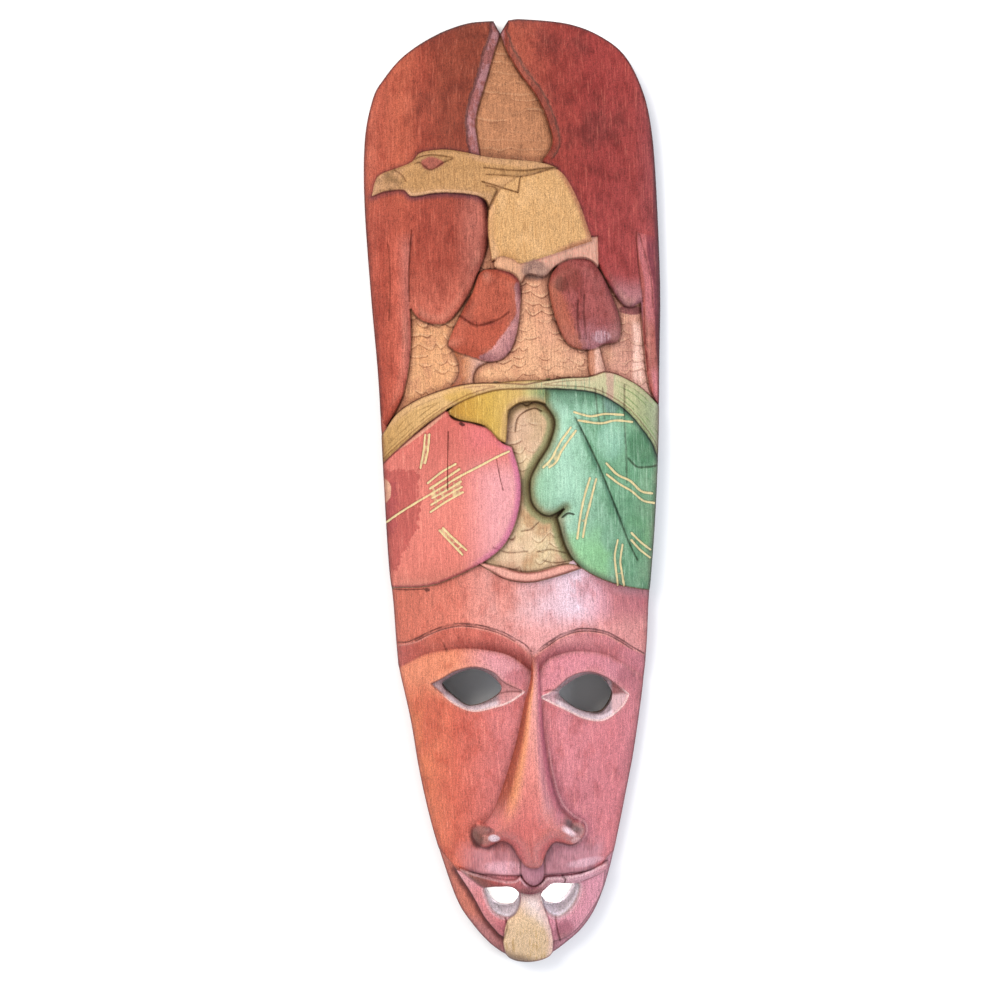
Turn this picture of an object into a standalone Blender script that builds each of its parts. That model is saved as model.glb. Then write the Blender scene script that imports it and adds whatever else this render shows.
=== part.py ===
"""A long carved and stained wooden mask: a narrow face below, an eagle and two leaves in relief above it.

It is one hollowed piece of wood. X runs across it, +Y to its crown, +Z out of its face, and it lies on the
flat rim of its hollow back, with the origin under the middle of its box. The carver's sizes are in
millimetres, and the mesh is made in metres.
"""

from typing import NamedTuple

import bmesh
import bpy
import numpy as np
from mathutils import Vector
from mathutils.geometry import delaunay_2d_cdt

METRES = 0.001

# The blank: a long tapering plank with a crowned front and a scooped back.
LENGTH = 508.0
EDGE = 10.0
CROWN = 36.0
HALF_WIDTH = 79.5
CHIN_TAPER = 47.0
TAPER_FROM = 40.0
RIM = 9.0
SHELL = 12.0
SCOOP_SLOPE = 1.3
RIM_CHAMFER = 1.0

# The cut-away ground of the panel, and the arch at its foot where the forehead starts.
GROUND = -4.2
GROUND_MIDDLE = 4.5
GROUND_FOOT = -46.5
GROUND_ARCH = 0.0145
CUT = 1.2

# The face: a forehead that sinks towards the panel, eye sockets under the brows, lids, pushed-out lips.
FOREHEAD = -3.2
FOREHEAD_FOOT = -78.0
FOREHEAD_RUN = 28.0
SOCKET = 5.0
BROW_ROLL = 1.6
LID_FALL = 4.5
LID_RISE = 0.9
LID_SPREAD = 6.0
EYE_RECESS = 1.6
LIP_PUSH = 3.5
LIP_TOP = -186.0
LIP_RUN = 17.0
LIP_HALF_WIDTH = 25.0
LIP_FADE = 18.0
LEDGE = 2.5

# The nose.
NOSE_TOP = -88.0
NOSE_RUN = 95.0
NOSE_TIP = 18.0
TIP_TOP = -180.0
TIP_RUN = 18.0
TIP_DROP = 2.0
NOSE_CUT = 0.3
NOSE_WINGS = 0.55
NOSE_HALF_WIDTH = 24.0
BRIDGE_SWELL = 3.2
TIP_SWELL = 10.0
NOSTRILS = [(-22.8, -180.6), (24.8, -180.6)]
NOSTRIL_RADIUS = 5.8
NOSTRIL_CENTRE = 2.6

# Mesh spacing.
TRACE_STEP = 1.0
LINE_STEP = 4.6
FINE_STEP = 2.8
SIDE_STEP = 5.6
SIDE_ROWS = (-3.0, -7.5)
NOSE_ROWS = (CUT / 2, -CUT / 2, -2.4, -5, -8, -11)
CREASE_ROWS = (4.5, 0, -5)
EDGE_CLEARANCE = 1.6
HOLE_CLEARANCE = 0.9
OPEN_STEP = 9.0
OPEN_CLEARANCE = 3.8
BACK_STEP = 15.0
BACK_CLEARANCE = 6.0
BACK_ROWS = [(RIM, 6.0), (RIM + 7, 7.0), (RIM + 15, 9.0)]

CROWN_RIGHT = [(1, 253.5), (9, 254), (33, 250.5), (50, 243), (63, 232), (72, 214), (76.5, 194), (78.5, 165),
               (79.5, 110), (78, 68), (76, 20), (73, -22), (69, -62), (67.5, -83)]
CHEEK_RIGHT = [(67.5, -83), (65.5, -103), (60, -137), (55.5, -159), (45.5, -202), (38, -223), (30, -235.5),
               (20, -244.5), (10, -251.5), (0, -254), (-10, -252), (-20, -245), (-30, -233.5), (-38, -221),
               (-45.5, -199), (-51.5, -177.5), (-57, -150), (-61, -122), (-67, -93)]
SIDE_LEFT = [(-67, -93), (-68.5, -62), (-70.5, -36), (-72, 10), (-73.5, 60), (-76.5, 105), (-79, 155),
             (-78, 190), (-73, 212), (-67, 222), (-55.5, 234.5), (-38.5, 245.5), (-22, 252), (-7, 253.5)]
NOTCH = [(-7, 253.5), (-3.5, 246)]
NOTCH_BACK = [(-3.5, 246), (1, 253.5)]
OUTLINE = [CROWN_RIGHT, CHEEK_RIGHT, SIDE_LEFT, NOTCH, NOTCH_BACK]

# The eagle: two spread wings that fill the panel, and head, body, thighs and feet over them.
WING_LEFT = [[(-3.5, 246), (-7, 235), (-12, 217.5), (-17, 200.5), (-18, 192), (-16, 176)],
             [(-16, 176), (-13, 147), (-13, 130), (-17.5, 115.5), (-25.5, 99.5), (-34, 89.5), (-41.5, 88),
              (-50, 91.5), (-55, 98)],
             [(-55, 98), (-56, 82), (-57.5, 66), (-62, 49), (-72, 31)],
             [(-72, 31), (-90, 20)], [(-90, 20), (-90, 262)], [(-90, 262), (-3.5, 262)],
             [(-3.5, 262), (-3.5, 246)]]
WING_RIGHT = [[(-3.5, 246), (0, 234.5), (6.5, 221.5), (15, 208), (20.5, 194), (22.5, 182), (17, 172.5)],
              [(17, 172.5), (44.5, 118.5), (52, 105), (58, 97), (63, 96), (68, 98.5)],
              [(68, 98.5), (69.5, 75), (72, 53), (79, 40)],
              [(79, 40), (90, 40)], [(90, 40), (90, 262)], [(90, 262), (-3.5, 262)],
              [(-3.5, 262), (-3.5, 246)]]
FRINGE = [[(-9, 123), (-9.5, 116), (-3, 113), (3, 107.5), (7, 112), (16, 111), (22, 116), (32, 120),
           (45, 116)],
          [(45, 116), (43, 124)], [(43, 124), (-9, 123)]]
BODY = [[(-11, 119.5), (-6, 121.5), (0, 120), (4, 117.5), (14, 120), (28, 124.5), (42, 129.5)],
        [(42, 129.5), (40, 136), (35, 151), (28.5, 163.5), (22, 169)], [(22, 169), (-9, 167)],
        [(-9, 167), (-12, 146), (-12.5, 133), (-11, 119.5)]]
HEAD = [[(-74.5, 159.5), (-72.5, 167), (-69, 170.5), (-58, 173), (-52, 175), (-48, 179), (-42, 180),
         (-31.5, 179.5), (-10, 174.5), (14, 171.5), (25, 168)],
        [(25, 168), (4, 164)], [(4, 164), (-6, 157), (-11.5, 147)],
        [(-11.5, 147), (-14, 152), (-21.5, 155), (-37.5, 157), (-52, 156.5), (-57, 160.5), (-67, 161),
         (-74.5, 159.5)]]
THIGH_LEFT = [[(-34.5, 79), (-26.5, 95), (-21.5, 103.5), (-17, 114), (-9, 115), (0, 112), (3.5, 105), (2, 86),
               (-3, 72), (-12, 67), (-26, 71), (-33, 74.5), (-34.5, 79)]]
THIGH_RIGHT = [[(18.5, 106), (23, 116), (32.5, 120), (42, 118.5), (49.5, 107), (56, 89), (55, 78), (47, 75.5),
                (39.5, 72.5), (28.5, 75), (22, 87.5), (18.5, 106)]]
FOOT_LEFT = [[(-34, 77), (-29.5, 66), (-31, 58), (-40, 50)], [(-40, 50), (-20, 50)],
             [(-20, 50), (-22.5, 58), (-20, 64), (-12, 68)], [(-12, 68), (-34, 77)]]
FOOT_RIGHT = [[(38.5, 75), (38.5, 66), (39.5, 55)], [(39.5, 55), (49, 56)], [(49, 56), (46.5, 65), (44, 75)],
              [(44, 75), (38.5, 75)]]

# The roundel under the eagle: an arched band, a yellow patch, a pink leaf, a green leaf, a cut-away middle.
BAND = [[(-82, 20), (-71, 32.5), (-62, 43), (-45, 51), (-21.5, 55.5), (5, 54)],
        [(5, 54), (23, 57), (39, 58), (48, 60.5), (58, 57.5), (69, 51), (84, 36)], [(84, 36), (84, 0)],
        [(84, 0), (75.5, 16.5), (71.5, 25), (60.5, 38.5), (49.5, 46.5), (39, 50.5), (23, 52), (5, 52.5),
         (-11, 52), (-27, 47.5), (-40, 40.5), (-51, 33), (-62.5, 24), (-71.5, 16.5), (-82, 8)],
        [(-82, 8), (-82, 20)]]
YELLOW = [[(-37, 41), (-30, 37), (-17.5, 33.5), (-12, 27), (-6, 24)], [(-6, 24), (-5, 34), (-4, 41), (2, 45),
          (10, 45.5), (16, 43.5)], [(16, 43.5), (30, 48)], [(30, 48), (20, 56), (-20, 54), (-37, 41)]]
PINK_LEAF = [[(-82, 18), (-60, 27), (-37, 43)], [(-37, 43), (-33, 37.5), (-22, 34.5), (-15, 31.5), (-9, 25),
             (-3, 22)], [(-3, 22), (1, 6), (0, -10), (-6, -25.5), (-16, -35.5), (-34.5, -45), (-50.5, -50),
             (-75, -51)], [(-75, -51), (-82, 18)]]
GREEN_LEAF = [[(15, 44), (20, 35), (17, 23), (11, 13.5), (6.5, 4), (7.5, -8), (15, -14), (24.5, -10)],
              [(24.5, -10), (20, -15.5)],
              [(20, -15.5), (24.5, -31.5), (32.5, -42), (50, -51), (76, -57)],
              [(76, -57), (82, 15)], [(82, 15), (60, 42), (40, 53), (15, 54)], [(15, 54), (15, 44)]]
LIP_OF_GROUND = [[(-24, -37), (-17.5, -41), (-8, -46.5), (4.5, -48.5), (18, -46), (32, -42)],
                 [(32, -42), (24, -40), (4.5, -43.5), (-10, -40.5), (-24, -37)]]

# The face, from its brow lines down.
BROW = [[(-80, -82), (-66.5, -80.5), (-56.5, -78), (-45, -72), (-31.5, -69.5), (-15, -72.5), (-3, -78),
         (5.5, -85.5)],
        [(5.5, -85.5), (12, -81), (20, -76.5), (31, -73.8), (44, -76), (55, -82.5), (80, -96)],
        [(80, -96), (80, -270)], [(80, -270), (-80, -270)], [(-80, -270), (-80, -82)]]
CREASE = [[(-80, -102), (-62, -92), (-50, -86), (-31.5, -83), (-15, -85), (-4, -89.5), (4, -98)],
          [(4, -98), (8.5, -98)],
          [(8.5, -98), (15, -91.5), (25, -87), (35, -86.5), (46, -89.5), (62, -100), (80, -112)],
          [(80, -112), (80, -270)], [(80, -270), (-80, -270)], [(-80, -270), (-80, -102)]]
EYE_LEFT = [[(-48.5, -102), (-42, -98.5), (-35, -94.5), (-25, -92.5), (-16, -95), (-10, -100.5), (0, -105.5)],
            [(0, -105.5), (-8, -110.5), (-16, -113), (-26, -115), (-34.5, -112.5), (-41, -108), (-48.5, -102)]]
EYE_RIGHT = [[(9.5, -108.5), (15, -106), (24.5, -98.8), (34, -96.8), (43, -100), (50, -105.5), (56, -111)],
             [(56, -111), (52.5, -116.5), (43, -122.3), (33, -121), (21.5, -115), (9.5, -108.5)]]
PUPIL_LEFT = [[(-43, -102.5), (-38, -98), (-32, -95), (-25, -93.7), (-17.5, -96.5), (-11.3, -103.7),
               (-17, -109.8),
               (-28, -113.6), (-36, -109.8), (-43, -102.5)]]
PUPIL_RIGHT = [[(18.5, -107.3), (24, -102), (33, -98.3), (41, -100), (46, -106), (47.2, -112), (41.5, -119.2),
                (33, -118.6), (25, -114.6), (18.5, -107.3)]]
JAW_RIM = [[(-50, -190), (-44.5, -195.5), (-38.5, -202)],
           [(-38.5, -202), (-24, -218), (0, -234), (26, -218), (39, -204)],
           [(39, -204), (44, -198), (52, -194)],
           [(52, -194), (70, -270)], [(70, -270), (-70, -270)], [(-70, -270), (-50, -190)]]
CHIN = [[(-38, -203), (-33.5, -214), (-26, -227), (-13.5, -239.5), (0, -243)],
        [(0, -243), (16, -242), (25, -237), (33.5, -227), (40, -216), (41.5, -204)],
        [(41.5, -204), (-38, -203)]]
TONGUE = [[(-4, -212), (-4.2, -219), (-7, -225.5), (-11.5, -229.5), (-13.2, -238), (-13.5, -245), (-9, -262)],
          [(-9, -262), (10, -262)],
          [(10, -262), (12.5, -247), (12.5, -240), (10.5, -230), (7.5, -220), (6.5, -212)],
          [(6.5, -212), (-4, -212)]]
LIP = [[(-38, -200.5), (-28, -203.7), (-14, -204.7), (-3.5, -203.3)],
       [(-3.5, -203.3), (-1, -208), (3.5, -210), (7.5, -207.5), (10, -204.8)],
       [(10, -204.8), (24, -205), (33, -203.8), (43, -201)],
       [(43, -201), (42, -205), (30, -208.5), (23.5, -210), (13, -208.7), (8, -212), (1.5, -213.8),
        (-4.5, -212.5),
        (-10, -209.6), (-22, -210.8), (-29, -207), (-38, -200.5)]]
PHILTRUM = [[(-3, -194), (-3.3, -202), (-1, -207), (3, -209.3), (7.3, -206.8), (8.7, -202), (8.5, -194)],
            [(8.5, -194), (-3, -194)]]
MOUTH_LEFT = [[(-22.5, -210.8), (-21.5, -219), (-18, -225), (-12, -227.5), (-7, -225.5), (-4.2, -219),
               (-6, -212.3), (-11, -209.8), (-22.5, -210.8)]]
MOUTH_RIGHT = [[(6.3, -216), (8.5, -223), (14.5, -228), (21, -225.5), (26, -218.5), (27, -210.5), (19, -208.8),
                (12.5, -209), (6.3, -216)]]
GAP_LEFT = [[(-21.4, -211.9), (-11, -210.8), (-5.2, -215), (-8, -221.2), (-15.5, -221.2), (-21.4, -211.9)]]
GAP_RIGHT = [[(7.4, -216.4), (13, -210.2), (24.2, -211.2), (20.5, -218.5), (11.5, -221.6), (7.4, -216.4)]]
NOSE = [[(4.2, -86), (4, -98), (0.5, -110.5), (-4, -129.5), (-10.5, -150.5), (-17, -167), (-22.5, -174.5),
         (-28, -178), (-28, -184), (-22.5, -188.5), (-14, -184.5), (-8.5, -186.5), (-5, -192.5), (-1.5, -197),
         (2.5, -198.8), (7, -197.5), (10.5, -190), (15, -185.8), (24, -188), (30, -183.5), (30, -178),
         (24.5, -174), (18, -166), (13.5, -151), (10.5, -130), (9, -104), (8, -86), (4.2, -86)]]


class Figure(NamedTuple):
    """A raised figure: its outline, its top over the blank, and how far its edge falls over what width."""

    runs: list
    level: float
    fall: float
    width: float
    step: float = LINE_STEP


# In carving order: each one stands over those before it.
FIGURES = [
    Figure(WING_LEFT, 0.0, 2.6, 5.0),
    Figure(WING_RIGHT, 0.0, 2.0, 3.5),
    Figure(FRINGE, -1.4, 0.9, 3.0),
    Figure(BODY, 1.4, 0.8, 2.5),
    Figure(HEAD, 2.4, 1.2, 3.0),
    Figure(FOOT_LEFT, -1.6, 0.9, 2.0),
    Figure(FOOT_RIGHT, -1.6, 0.9, 2.0),
    Figure(THIGH_LEFT, 1.6, 3.4, 8.0),
    Figure(THIGH_RIGHT, 1.6, 3.4, 8.0),
    Figure(LIP_OF_GROUND, -0.2, 0.6, 2.0),
    Figure(YELLOW, -1.2, 0.6, 2.0),
    Figure(PINK_LEAF, 1.2, 2.4, 8.0),
    Figure(GREEN_LEAF, 1.2, 2.4, 8.0),
    Figure(BAND, 1.2, 0.8, 2.0),
    Figure(JAW_RIM, -1.6, 0.0, 1.0),
    Figure(CHIN, 2.0, 1.4, 3.0),
    Figure(TONGUE, 5.0, 2.4, 5.0),
    Figure(LIP, 5.0, 1.6, 2.0, FINE_STEP),
    Figure(PHILTRUM, 4.6, 1.6, 3.0, FINE_STEP),
]
MOUTHS = [(MOUTH_LEFT, GAP_LEFT), (MOUTH_RIGHT, GAP_RIGHT)]
HOLES = [PUPIL_LEFT, PUPIL_RIGHT, GAP_LEFT, GAP_RIGHT]


def smooth_run(points, step):
    """A Catmull-Rom curve through the points, sampled about every step, without its last point."""
    points = np.array(points, float)
    before = 2 * points[0] - points[1]
    after = 2 * points[-1] - points[-2]
    if len(points) > 3 and np.allclose(points[0], points[-1]):
        before, after = points[-2], points[1]
    knots = np.vstack([before, points, after])
    samples = []
    for p0, p1, p2, p3 in zip(knots, knots[1:], knots[2:], knots[3:]):
        count = max(1, round(float(np.linalg.norm(p2 - p1)) / step))
        t = (np.arange(count) / count)[:, None]
        samples.append(0.5 * (2 * p1 + (p2 - p0) * t + (2 * p0 - 5 * p1 + 4 * p2 - p3) * t ** 2
                              + (3 * p1 - p0 - 3 * p2 + p3) * t ** 3))
    return np.vstack(samples)


def closed_line(runs, step=TRACE_STEP):
    return np.vstack([smooth_run(run, step) for run in runs])


def inside_depth(line, at):
    """How deep each point lies inside a closed line, negative outside it."""
    nearest = np.full(len(at), np.inf)
    inside = np.zeros(len(at), bool)
    x, y = at[:, 0], at[:, 1]
    for (ax, ay), (bx, by) in zip(line, np.roll(line, -1, axis=0)):
        dx, dy = bx - ax, by - ay
        along = np.clip(((x - ax) * dx + (y - ay) * dy) / (dx * dx + dy * dy + 1e-12), 0, 1)
        nearest = np.minimum(nearest, (x - ax - along * dx) ** 2 + (y - ay - along * dy) ** 2)
        if ay != by:
            inside ^= ((ay > y) != (by > y)) & (x < dx * (y - ay) / dy + ax)
    return np.where(inside, 1, -1) * np.sqrt(nearest)


def ease(value):
    """0 below 0, 1 above 1, and a smooth slope between."""
    t = np.clip(value, 0, 1)
    return t * t * (3 - 2 * t)


def blank_height(at):
    """The crowned front of the uncarved blank."""
    x, y = at[:, 0], at[:, 1]
    taper = np.clip((TAPER_FROM - y) / (TAPER_FROM + LENGTH / 2), 0, 1)
    across = np.abs(x) / (HALF_WIDTH - CHIN_TAPER * taper ** 1.7)
    along = np.abs(y) / (LENGTH / 2)
    return EDGE + CROWN * (1 - np.clip(across, 0, 1) ** 2.2) * (1 - np.clip(along, 0, 1) ** 4)


def hollow_height(at, outline):
    """The scooped back: flat on the rim, then a steep side that rounds into a shell of even thickness."""
    side = SCOOP_SLOPE * (inside_depth(outline, at) - RIM)
    roof = blank_height(at) - SHELL
    blend = 6.0
    mixed = 0.5 * (side + roof - np.sqrt((side - roof) ** 2 + blend ** 2)) + 0.2 * blend
    return np.where(side <= 0, 0.0, np.clip(np.minimum(mixed, side), 0, None))


def face_height(at):
    """The face relative to the blank: a sunk forehead, brows that roll in to a crease, and eyelids."""
    x, y = at[:, 0], at[:, 1]
    under_brow = inside_depth(closed_line(BROW), at)
    under_crease = inside_depth(closed_line(CREASE), at)
    span = np.maximum(under_brow - under_crease, 0.1)
    roll = np.clip(under_brow / span, 0, 1) ** BROW_ROLL
    sunk = np.where(under_crease > 0, np.exp(-np.maximum(under_crease, 0) / LID_FALL), roll)
    height = -SOCKET * sunk * (1 - 0.5 * np.clip(np.abs(x) / (HALF_WIDTH - SHELL), 0, 1) ** 3)
    height += FOREHEAD * ease((y - FOREHEAD_FOOT) / FOREHEAD_RUN)
    for eye in (EYE_LEFT, EYE_RIGHT):
        depth = inside_depth(closed_line(eye), at)
        height += LID_RISE * np.exp(-np.minimum(depth, 0) ** 2 / LID_SPREAD)
        height -= (EYE_RECESS + LID_RISE) * ease(depth / CUT + 0.5)
    beside_mouth = ease((np.abs(x - 2) - LIP_HALF_WIDTH) / LIP_FADE)
    return height + LIP_PUSH * ease((LIP_TOP - y) / LIP_RUN) * (1 - beside_mouth)


def nose_height(at, under):
    """The nose over what lies under it: a thin bridge that swells to the tip and to two round nostrils."""
    x, y = at[:, 0], at[:, 1]
    down = np.clip((NOSE_TOP - y) / NOSE_RUN, 0, 1)
    middle = 6 - 4 * down
    ridge = -1 + (NOSE_TIP + 1) * down ** 0.95
    ridge -= TIP_DROP * np.clip((TIP_TOP - y) / TIP_RUN, 0, 1) ** 2
    wings = NOSE_WINGS * np.clip(np.abs(x - middle) / NOSE_HALF_WIDTH, 0, 1) ** 1.3
    rise = np.maximum(ridge - under, 0) * (1 - wings)
    depth = inside_depth(closed_line(NOSE), at)
    swell = BRIDGE_SWELL + TIP_SWELL * down ** 1.3
    rounded = 1 - (1 - np.clip(depth / swell, 0, 1)) ** 2.3
    height = under + rise * ease(depth / CUT + 0.5) * (NOSE_CUT + (1 - NOSE_CUT) * rounded)
    for cx, cy in NOSTRILS:
        square = NOSTRIL_RADIUS ** 2 - (x - cx) ** 2 - (y - cy) ** 2
        ball = under + NOSTRIL_CENTRE + np.sqrt(np.maximum(square, 0))
        height = np.where(square > 0, np.maximum(height, ball), height)
    return height


def carved_height(at, outline):
    """The carved front: the blank with its relief, cut down to a ledge inside each half of the mouth."""
    foot_of_ground = GROUND_FOOT + GROUND_ARCH * (at[:, 0] - GROUND_MIDDLE) ** 2
    relief = np.where(at[:, 1] > foot_of_ground, GROUND, face_height(at))
    for figure in FIGURES:
        depth = inside_depth(closed_line(figure.runs), at)
        top = figure.level - figure.fall * (1 - np.clip(depth / figure.width, 0, 1)) ** 2
        relief = relief + (top - relief) * ease(depth / CUT + 0.5)
    height = blank_height(at) + nose_height(at, relief)
    ledge = np.minimum(hollow_height(at, outline) + LEDGE, height)
    for mouth, gap in MOUTHS:
        outer = inside_depth(closed_line(mouth), at)
        inner = inside_depth(closed_line(gap), at)
        share = np.where(inner > 0, 1.0, np.clip(outer / np.maximum(outer - inner, 0.05), 0, 1) ** 0.8)
        height = height + (ledge - height) * np.where(outer > 0, share, 0)
    return height


def turned_outwards(line):
    """The outward direction at each point of a closed line."""
    along = np.roll(line, -1, axis=0) - np.roll(line, 1, axis=0)
    along /= np.linalg.norm(along, axis=1)[:, None] + 1e-12
    x, y = line[:, 0], line[:, 1]
    area = float(np.sum(x * np.roll(y, -1) - y * np.roll(x, -1)))
    return np.stack([along[:, 1], -along[:, 0]], axis=1) * (1 if area > 0 else -1)


def counterclockwise(line):
    x, y = line[:, 0], line[:, 1]
    return line if np.sum(x * np.roll(y, -1) - y * np.roll(x, -1)) > 0 else line[::-1].copy()


def chosen_points(line, step, heights=None):
    """The points of a finely traced line to keep: every step, at its corners, and where the height jumps."""
    forward = np.roll(line, -1, axis=0) - line
    heading = np.arctan2(forward[:, 1], forward[:, 0])
    kept = [0]
    for i in range(1, len(line)):
        last = kept[-1]
        corner = abs((heading[i] - heading[i - 1] + np.pi) % (2 * np.pi) - np.pi) > np.radians(25)
        turned = abs((heading[i] - heading[last] + np.pi) % (2 * np.pi) - np.pi) > np.radians(22)
        away = float(np.linalg.norm(line[i] - line[last]))
        jumped = heights is not None and abs(heights[i] - heights[last]) > 0.9
        if corner or away >= step or (away > 1.4 and (turned or jumped)):
            kept.append(i)
    if len(kept) > 3 and np.linalg.norm(line[kept[-1]] - line[0]) < 1.2:
        kept.pop()
    return kept


def carved_lines():
    """Each line of the carving with the offsets, outwards, at which the mesh follows it, in carving order."""
    edge = (CUT / 2, -CUT / 2)
    lines = [(BROW, (0,), LINE_STEP), (CREASE, CREASE_ROWS, LINE_STEP),
             (EYE_LEFT, edge, FINE_STEP), (EYE_RIGHT, edge, FINE_STEP)]
    for figure in FIGURES:
        inner = (-0.55 * figure.width,) if figure.width > 4 else ()
        lines.append((figure.runs, edge + inner, figure.step))
    lines.append((NOSE, NOSE_ROWS, FINE_STEP))
    lines += [(mouth, (0.3,), FINE_STEP) for mouth, _ in MOUTHS]
    return lines


def loops_of(loops):
    """The points of closed loops, one after another, and the segments that close each."""
    points = []
    segments = []
    for loop in loops:
        start = len(points)
        points += [tuple(p) for p in loop]
        segments += [(start + i, start + (i + 1) % len(loop)) for i in range(len(loop))]
    return points, segments


def follow_line(points, segments, moved, shown):
    """Adds the shown points of one closed line, and a segment wherever two neighbours are both shown."""
    index = {}
    for i in np.flatnonzero(shown):
        index[i] = len(points)
        points.append(tuple(moved[i]))
    for i in index:
        following = (i + 1) % len(moved)
        if following in index:
            segments.append((index[i], index[following]))


def front_layout(outline, holes):
    """Points for the carved front and the segments between them that the mesh has to keep."""
    points, segments = loops_of([outline] + holes)
    lines = [(OUTLINE, SIDE_ROWS, SIDE_STEP)] + carved_lines()
    for order, (runs, offsets, step) in enumerate(lines):
        traced = closed_line(runs)
        kept = chosen_points(traced, step)
        outward = turned_outwards(traced)
        for offset in offsets:
            moved = traced[kept] + offset * outward[kept]
            shown = np.abs(inside_depth(traced, moved) + offset) < 0.25
            shown &= inside_depth(outline, moved) > EDGE_CLEARANCE
            for hole in holes:
                shown &= inside_depth(hole, moved) < -HOLE_CLEARANCE
            for over, _, _ in lines[order + 1:]:
                if over is not BROW and over is not CREASE:
                    shown &= inside_depth(closed_line(over), moved) < -(CUT / 2 + 0.5)
            follow_line(points, segments, moved, shown)
    points += fill_points(points, outline, holes, OPEN_STEP, OPEN_CLEARANCE)
    return points, segments


def back_layout(back_outline, traced, holes):
    """Points and kept segments of the back: its edge, the holes, the rim's inner edge and rows up the scoop."""
    points, segments = loops_of([back_outline] + holes)
    outward = turned_outwards(traced)
    for inset, step in BACK_ROWS:
        kept = chosen_points(traced, step)
        moved = traced[kept] - inset * outward[kept]
        shown = np.abs(inside_depth(traced, moved) - inset) < 0.3
        for hole in holes:
            shown &= inside_depth(hole, moved) < -2.5
        follow_line(points, segments, moved, shown)
    points += fill_points(points, back_outline, holes, BACK_STEP, BACK_CLEARANCE)
    return points, segments


def fill_points(points, outline, holes, step, clearance):
    """A triangular grid of points for the open stretches, clear of the points already there."""
    low, high = outline.min(axis=0), outline.max(axis=0)
    rows = np.arange(low[1], high[1], step * 0.866)
    columns = np.arange(low[0], high[0], step)
    grid = np.array([(x + (row % 2) * step / 2, y) for row, y in enumerate(rows) for x in columns])
    free = inside_depth(outline, grid) > clearance
    for hole in holes:
        free &= inside_depth(hole, grid) < -clearance
    taken = np.array(points)
    grid = grid[free]
    nearest = np.array([np.min(np.sum((taken - p) ** 2, axis=1)) for p in grid])
    return [tuple(p) for p in grid[nearest > clearance ** 2]]


def triangles_between(points, segments, outline, holes):
    """Points and triangles of a flat sheet bounded by the outline, with the holes left open."""
    vertices, _, faces, _, _, _ = delaunay_2d_cdt([Vector(p) for p in points], segments, [], 0, 1e-4)
    flat = np.array([v[:] for v in vertices])
    faces = np.array(faces)
    middles = flat[faces].mean(axis=1)
    kept = inside_depth(outline, middles) > 0
    for hole in holes:
        kept &= inside_depth(hole, middles) < 0
    return flat, faces[kept]


def add_sheet(mesh, flat, heights, faces, facing_up):
    """Adds a sheet of triangles to the mesh and returns its vertices."""
    corners = [mesh.verts.new((x * METRES, y * METRES, z * METRES)) for (x, y), z in zip(flat, heights)]
    for a, b, c in faces:
        turned = (a, b, c) if facing_up else (a, c, b)
        mesh.faces.new([corners[i] for i in turned])
    return corners


def add_wall(mesh, upper, lower, outer):
    """Joins two loops of vertices, level with each other, by a wall that faces out of the wood."""
    for i in range(len(upper)):
        j = (i + 1) % len(upper)
        corners = (upper[i], lower[i], lower[j], upper[j])
        mesh.faces.new(corners if outer else corners[::-1])


def carve_mask():
    """The mask as one closed mesh: carved front, scooped back, side wall, and the walls of its four holes."""
    traced = counterclockwise(closed_line(OUTLINE))
    kept = chosen_points(traced, LINE_STEP, carved_height(traced, traced))
    outline = traced[kept]
    back_outline = outline - RIM_CHAMFER * turned_outwards(traced)[kept]
    holes = []
    for runs in HOLES:
        hole = counterclockwise(closed_line(runs))
        holes.append(hole[chosen_points(hole, FINE_STEP)])

    front, front_faces = triangles_between(*front_layout(outline, holes), outline, holes)
    back, back_faces = triangles_between(*back_layout(back_outline, traced, holes), back_outline, holes)

    mesh = bmesh.new()
    upper = add_sheet(mesh, front, carved_height(front, traced), front_faces, True)
    lower = add_sheet(mesh, back, hollow_height(back, traced), back_faces, False)
    side = [mesh.verts.new((x * METRES, y * METRES, RIM_CHAMFER * METRES)) for x, y in outline]
    add_wall(mesh, upper[: len(outline)], side, True)
    add_wall(mesh, side, lower[: len(outline)], True)
    start = len(outline)
    for hole in holes:
        add_wall(mesh, upper[start : start + len(hole)], lower[start : start + len(hole)], False)
        start += len(hole)
    bmesh.ops.triangulate(mesh, faces=[face for face in mesh.faces if len(face.verts) > 3])
    return mesh


def stained_wood():
    material = bpy.data.materials.new("stained_wood")
    material.use_nodes = True
    shader = material.node_tree.nodes["Principled BSDF"]
    shader.inputs["Base Color"].default_value = (0.46, 0.12, 0.08, 1)
    shader.inputs["Roughness"].default_value = 0.55
    shader.inputs["Metallic"].default_value = 0.0
    return material


def main():
    for old in list(bpy.data.objects):
        bpy.data.objects.remove(old)
    collection = bpy.data.collections.new("bird_mask")
    bpy.context.scene.collection.children.link(collection)
    data = bpy.data.meshes.new("mask")
    mesh = carve_mask()
    mesh.to_mesh(data)
    mesh.free()
    data.materials.append(stained_wood())
    data.shade_smooth()
    data.set_sharp_from_angle(angle=0.7)
    collection.objects.link(bpy.data.objects.new("mask", data))


main()
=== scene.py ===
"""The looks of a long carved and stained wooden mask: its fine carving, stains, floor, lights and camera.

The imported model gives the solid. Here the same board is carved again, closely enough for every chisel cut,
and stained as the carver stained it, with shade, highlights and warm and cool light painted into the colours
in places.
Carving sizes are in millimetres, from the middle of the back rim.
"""

import math
from typing import NamedTuple

import bpy
import numpy as np
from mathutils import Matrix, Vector
from mathutils.geometry import delaunay_2d_cdt


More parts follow.
